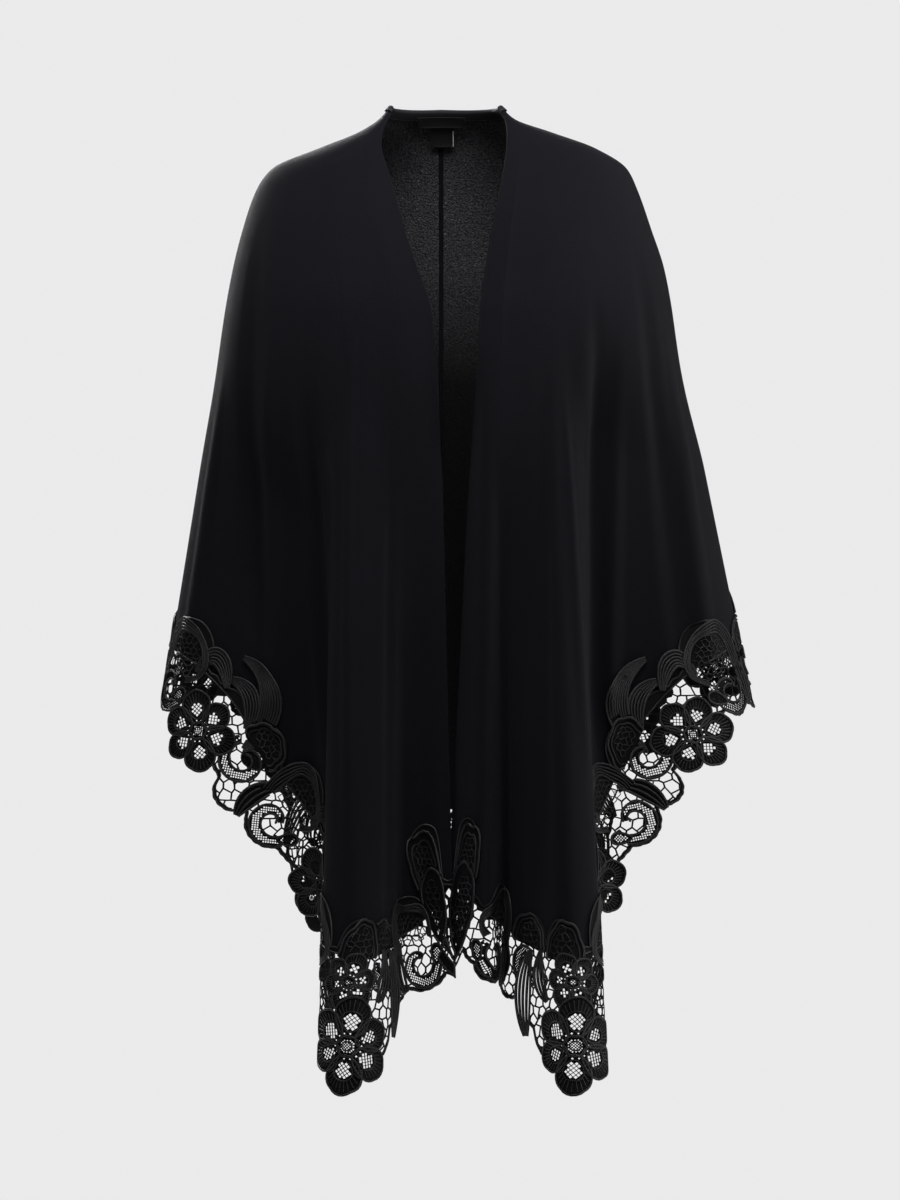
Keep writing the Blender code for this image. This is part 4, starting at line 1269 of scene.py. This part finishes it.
class KNITCAPE_OT_neck_band(bpy.types.Operator):
    """Makes the smooth tape that binds the neck edge, with its line of stitches"""

    bl_idname = "knitcape.neck_band"
    bl_label = "Neck band"

    def execute(self, context):
        rings, seams = self.section()
        surface = Surface()
        count = rings.shape[1]
        along, round_it = np.repeat(walked(rings[:, 0]), count), np.tile(np.arange(count) * 0.001, len(rings))
        uvs = np.stack([along, round_it], -1)
        surface.add(rings.reshape(-1, 3), ring_faces(len(rings), count), uvs)
        for path, outs in seams:
            length = walked(path)
            for start in np.arange(0.001, length[-1] - 0.003, STITCH_PITCH):
                at = np.linspace(start, start + STITCH_LENGTH, 4)
                points, normals = (
                    np.stack([np.interp(at, length, row) for row in rows.T], -1) for rows in (path, outs)
                )
                surface.tube(points, normals, 0.00022, slot=1, sides=5)
        thread = thread_material("Sewing thread", (0.010, 0.010, 0.011), 0.5, 3000.0, 0.05)
        band = surface.finish("neck_tape", [tape_material("Neck tape", (0.0070, 0.0070, 0.0082)), thread])
        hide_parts("neck_band")
        return {"FINISHED"}

    def section(self):
        """The tape's rings from one neck point to the other, and the lines of its two rows of stitches."""
        left, right = panel_of("left"), panel_of("right")
        near = KNIT_WALL / 2 + BAND_GAP
        found = []
        for panel, p in (
            (left, np.linspace(0, left.count - 1, BAND_STEPS)),
            (right, np.linspace(right.count - 1, 0, BAND_STEPS)[1:]),
        ):
            rows = [panel.skin(p, -depth, 0.0) for depth in (0.0, BAND_OUTER, BAND_INNER)]
            found += zip(*(v for row in rows for v in row))
        rings, inside_row, outside_row = [], [], []
        numbers = np.arange(len(found))
        ends = ease(np.minimum(numbers, numbers[::-1]) / 9)
        for share, (top, n0, outer, n1, inner, n2) in zip(ends, found):
            far = near + BAND_WALL * (0.3 + 0.7 * share)
            up = (top - outer) / np.linalg.norm(top - outer)
            top = top - BAND_SINK * (1 - share) * up
            height = 0.95 * (0.2 + 0.8 * share)
            crown = [
                top + far * (math.cos(turn) * n0 + height * math.sin(turn) * up) + 0.0003 * up
                for turn in np.linspace(math.pi, 0, 7)
            ]
            ring = [outer + near * n1, top + near * n0 + 0.0004 * up, top - near * n0 + 0.0004 * up]
            ring += [outer - near * n1, inner - near * n2, inner - far * n2, outer - far * n1]
            rings.append(ring + crown + [outer + far * n1])
            clear = far + 0.0001
            inside_row.append((inner + 0.0022 * up - clear * n2, -n2))
            outside_row.append((outer + 0.0018 * up + clear * n1, n1))
        return np.array(rings), [np.array(row).swapaxes(0, 1) for row in (inside_row, outside_row)]


class KNITCAPE_OT_labels(bpy.types.Operator):
    """Makes the two bare cloth labels inside the back neck"""

    bl_idname = "knitcape.labels"
    bl_label = "Labels"

    def execute(self, context):
        clear = KNIT_WALL / 2 + BAND_GAP + BAND_WALL + SEAM_GAP + CLEAR
        tape = tape_material("Label cloth", (0.0062, 0.0062, 0.0068))
        pale = tape_material("Label edge thread", (0.42, 0.42, 0.42))
        materials = [tape, pale]
        self.label("care_label_cloth", "care_label", 0.024, 0.006, 0.029, clear, 0.0015, materials, True)
        clear += 0.0011
        self.label("main_label_cloth", "main_label", 0.050, 0.002, 0.0105, clear, 0.0, materials, False)
        return {"FINISHED"}

    def points(self, offset, depth):
        """Points on the inside of the back: offsets from the seam along x, depths below the neck edge."""
        offset, depth = np.broadcast_arrays(np.asarray(offset, float), np.asarray(depth, float))
        points, normals = np.empty((*offset.shape, 3)), np.empty((*offset.shape, 3))
        for panel, mine in ((panel_of("left"), offset < 0), (panel_of("right"), offset >= 0)):
            z = -depth[mine]
            half = panel.level(f"{panel.side}_half", z)
            turn = 2 - np.abs(offset[mine]) / (half - panel.seam_x)
            p = np.interp(turn, panel.rounds, np.arange(panel.count))
            points[mine], normals[mine] = panel.at(p, z), panel.normal(p, z)
        return points, normals

    def label(self, name, node, width, top, end, clear, shift, materials, stripe):
        """One label, with a pale line of stitches down its side or small ones at both ends."""
        columns, rows, wall = 25, 17, LABEL_WALL
        offsets = np.linspace(-width / 2, width / 2, columns) + shift
        j, k = np.meshgrid(np.arange(columns), np.arange(rows))
        across, down = offsets[j], np.linspace(top, end, rows)[k]
        point, out = self.points(across, down)
        folded = (j < 2) | (j > columns - 3) | (k == 0) | (k == rows - 1)
        curl = LABEL_CURL * (k / (rows - 1)) ** 3 * np.sin(3 * j / columns)
        face = point - (clear + wall + LABEL_FOLD * folded + curl)[..., None] * out
        back = point - (clear + curl)[..., None] * out
        surface = closed_wall(face, back, np.stack([across, -down], -1), True, 0)
        if stripe:
            q, n = self.points(offsets[-1] - 0.0012, np.linspace(top + 0.008, end - 0.0006, 14))
            surface.tube(q - (clear + wall + 0.0004) * n, -n, 0.0004, slot=1)
        else:
            for place in (-1, 1):
                for depth in np.linspace(top + 0.001, end - 0.001, 6):
                    q, n = self.points(place * width / 2 * np.array([0.925, 0.95, 0.975]), depth)
                    surface.tube(q - (clear + wall + 0.0003) * n, -n, 0.0002, sides=5)
        piece = surface.finish(name, materials)
        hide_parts(node)


class KNITCAPE_OT_lace(bpy.types.Operator):
    """Makes the cutwork lace border in three lengths on each panel"""

    bl_idname = "knitcape.lace"
    bl_label = "Lace border"

    def execute(self, context):
        settings = context.scene.cape_lace
        colour = tuple(settings.colour)
        net = thread_material("Lace net", colour, 0.72, 1400.0, 0.006, 0.07)
        cord = thread_material("Lace cord", colour, 0.44, 1700.0, 0.008, 0.20)
        for side in FOLDS:
            panel = panel_of(side)
            lace = Lace(panel, settings)
            cuts = (-FRONT_REACH, lace.flowers[0, 0] + 0.068, lace.flowers[-1, 0] - 0.066, panel.length)
            for k, length in enumerate(LENGTHS):
                piece = lace.build(f"lace_work_{side}_{length}", cuts[k], cuts[k + 1], [net, cord])
                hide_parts(f"lace_{side}_{length}")
        return {"FINISHED"}


class KNITCAPE_OT_declare(bpy.types.Operator):
    """Gathers, for each panel, the pieces that are sewn to it into a list that is not used further"""

    bl_idname = "knitcape.declare"
    bl_label = "Flat cuts"

    def execute(self, context):
        made = bpy.data.objects
        for side in FOLDS:
            trims = [made[f"lace_work_{side}_{length}"] for length in LENGTHS] + [made[f"front_edge_{side}"]]
            if side == "left":
                trims += [made[n] for n in ("back_seam", "neck_tape", "main_label_cloth", "care_label_cloth")]
        return {"FINISHED"}


class KNITCAPE_OT_studio(bpy.types.Operator):
    """Makes the pale floor, the soft lights, the backdrop's colour and the camera"""

    bl_idname = "knitcape.studio"
    bl_label = "Studio"

    def execute(self, context):
        settings = context.scene.cape_studio
        self.backdrop(context.scene, tuple(settings.backdrop))
        self.floor(settings.floor)
        for name, place, aim, size, power, tint in (
            ("key", (3.0, -0.9, 0.7), (0.0, 0.0, -0.45), (0.8, 1.6), 40.0, (1.0, 0.99, 0.97)),
            ("fill", (-2.2, -2.2, 0.3), (0.0, 0.0, -0.5), (1.8, 2.4), 2.0, (0.95, 0.97, 1.0)),
            ("top", (0.05, -0.75, 0.85), (0.0, 0.0, -0.3), (1.3, 0.5), 46.0, (1.0, 1.0, 1.0)),
            ("left_rim", (-2.3, 1.2, 0.1), (-0.2, 0.0, -0.5), (1.0, 2.2), 4.0, (0.93, 0.96, 1.0)),
            ("behind", (-0.9, 2.3, 1.0), (0.0, 0.0, -0.40), (1.8, 1.4), 170.0, (1.0, 1.0, 1.0)),
            ("right_rim", (2.7, 0.4, 0.1), (0.2, 0.0, -0.5), (1.0, 2.2), 50.0, (1.0, 1.0, 1.0)),
        ):
            self.softbox(name, place, aim, size, power, tint)
        data = bpy.data.cameras.new("camera")
        data.lens, data.sensor_width = settings.lens, 36.0
        data.clip_end = 50.0
        camera = bpy.data.objects.new("camera", data)
        camera.location = (0.0, -settings.distance, settings.eye_height)
        camera.rotation_euler = (math.radians(90), 0, 0)
        context.scene.collection.objects.link(camera)
        context.scene.camera = camera
        context.scene.view_settings.view_transform = "Standard"
        context.scene.view_settings.look = "None"
        return {"FINISHED"}

    def backdrop(self, scene, colour):
        """A pale world that the camera sees, and a dimmer one that lights the cloth."""
        world = bpy.data.worlds.new("studio")
        world.use_nodes = True
        scene.world = world
        tree = world.node_tree
        tree.nodes.clear()
        seen = add_node(tree, "ShaderNodeBackground", in_Color=(*colour, 1), in_Strength=1.0)
        felt = add_node(tree, "ShaderNodeBackground", in_Color=(*colour, 1), in_Strength=0.035)
        rays = tree.nodes.new("ShaderNodeLightPath")
        felt, seen, rays = felt.outputs[0], seen.outputs[0], rays.outputs["Is Camera Ray"]
        mix = add_node(tree, "ShaderNodeMixShader", in_0=rays, in_1=felt, in_2=seen)
        out = tree.nodes.new("ShaderNodeOutputWorld")
        tree.links.new(mix.outputs[0], out.inputs["Surface"])

    def floor(self, height):
        bpy.ops.mesh.primitive_circle_add(vertices=96, radius=2.1, fill_type="NGON", location=(0, 0, height))
        floor = bpy.context.active_object
        floor.name = "studio_floor"
        material = bpy.data.materials.new("Pale floor")
        material.use_nodes = True
        tree = material.node_tree
        shader = tree.nodes["Principled BSDF"]
        shader.inputs["Roughness"].default_value = 0.9
        place = tree.nodes.new("ShaderNodeTexCoord")
        place = place.outputs["Object"]
        grain = add_node(tree, "ShaderNodeTexNoise", in_Vector=place, in_Scale=3.0, in_Detail=4.0)
        base = mixed(tree, grain.outputs[0], (0.80, 0.80, 0.80), (0.84, 0.84, 0.84))
        tree.links.new(base, shader.inputs["Base Color"])
        floor.data.materials.append(material)

    def softbox(self, name, place, aim, size, power, tint):
        data = bpy.data.lights.new(name, "AREA")
        data.shape, data.size, data.size_y = "RECTANGLE", *size
        data.energy, data.color = power, tint
        light = bpy.data.objects.new(name, data)
        light.location = place
        light.rotation_euler = (Vector(aim) - Vector(place)).to_track_quat("-Z", "Y").to_euler()
        bpy.context.scene.collection.objects.link(light)


class KNITCAPE_PT_sidebar(bpy.types.Panel):
    """Lists the cape's pieces and settings"""

    bl_label = "Knit cape"
    bl_idname = "KNITCAPE_PT_sidebar"
    bl_space_type = "VIEW_3D"
    bl_region_type = "UI"
    bl_category = "Cape"

    def draw(self, context):
        layout = self.layout
        for operator in STEPS:
            layout.operator(operator.bl_idname)
        for group in (context.scene.cape_knit, context.scene.cape_lace, context.scene.cape_studio):
            box = layout.box()
            for name in group.__annotations__:
                box.prop(group, name)


SETTINGS = {"cape_knit": CapeKnitSettings, "cape_lace": CapeLaceSettings, "cape_studio": CapeStudioSettings}
STEPS = (
    KNITCAPE_OT_panels,
    KNITCAPE_OT_back_seam,
    KNITCAPE_OT_neck_band,
    KNITCAPE_OT_labels,
    KNITCAPE_OT_lace,
    KNITCAPE_OT_declare,
    KNITCAPE_OT_studio,
)


def register():
    for item in (*SETTINGS.values(), *STEPS, KNITCAPE_PT_sidebar):
        bpy.utils.register_class(item)
    for name, group in SETTINGS.items():
        setattr(bpy.types.Scene, name, PointerProperty(type=group))


def unregister():
    for name in SETTINGS:
        delattr(bpy.types.Scene, name)
    for item in (KNITCAPE_PT_sidebar, *STEPS[::-1], *SETTINGS.values()):
        bpy.utils.unregister_class(item)


def main():
    register()
    bpy.ops.knitcape.panels()
    bpy.ops.knitcape.back_seam()
    bpy.ops.knitcape.neck_band()
    bpy.ops.knitcape.labels()
    bpy.ops.knitcape.lace()
    bpy.ops.knitcape.declare()
    bpy.ops.knitcape.studio()


if __name__ == "__main__":
    main()
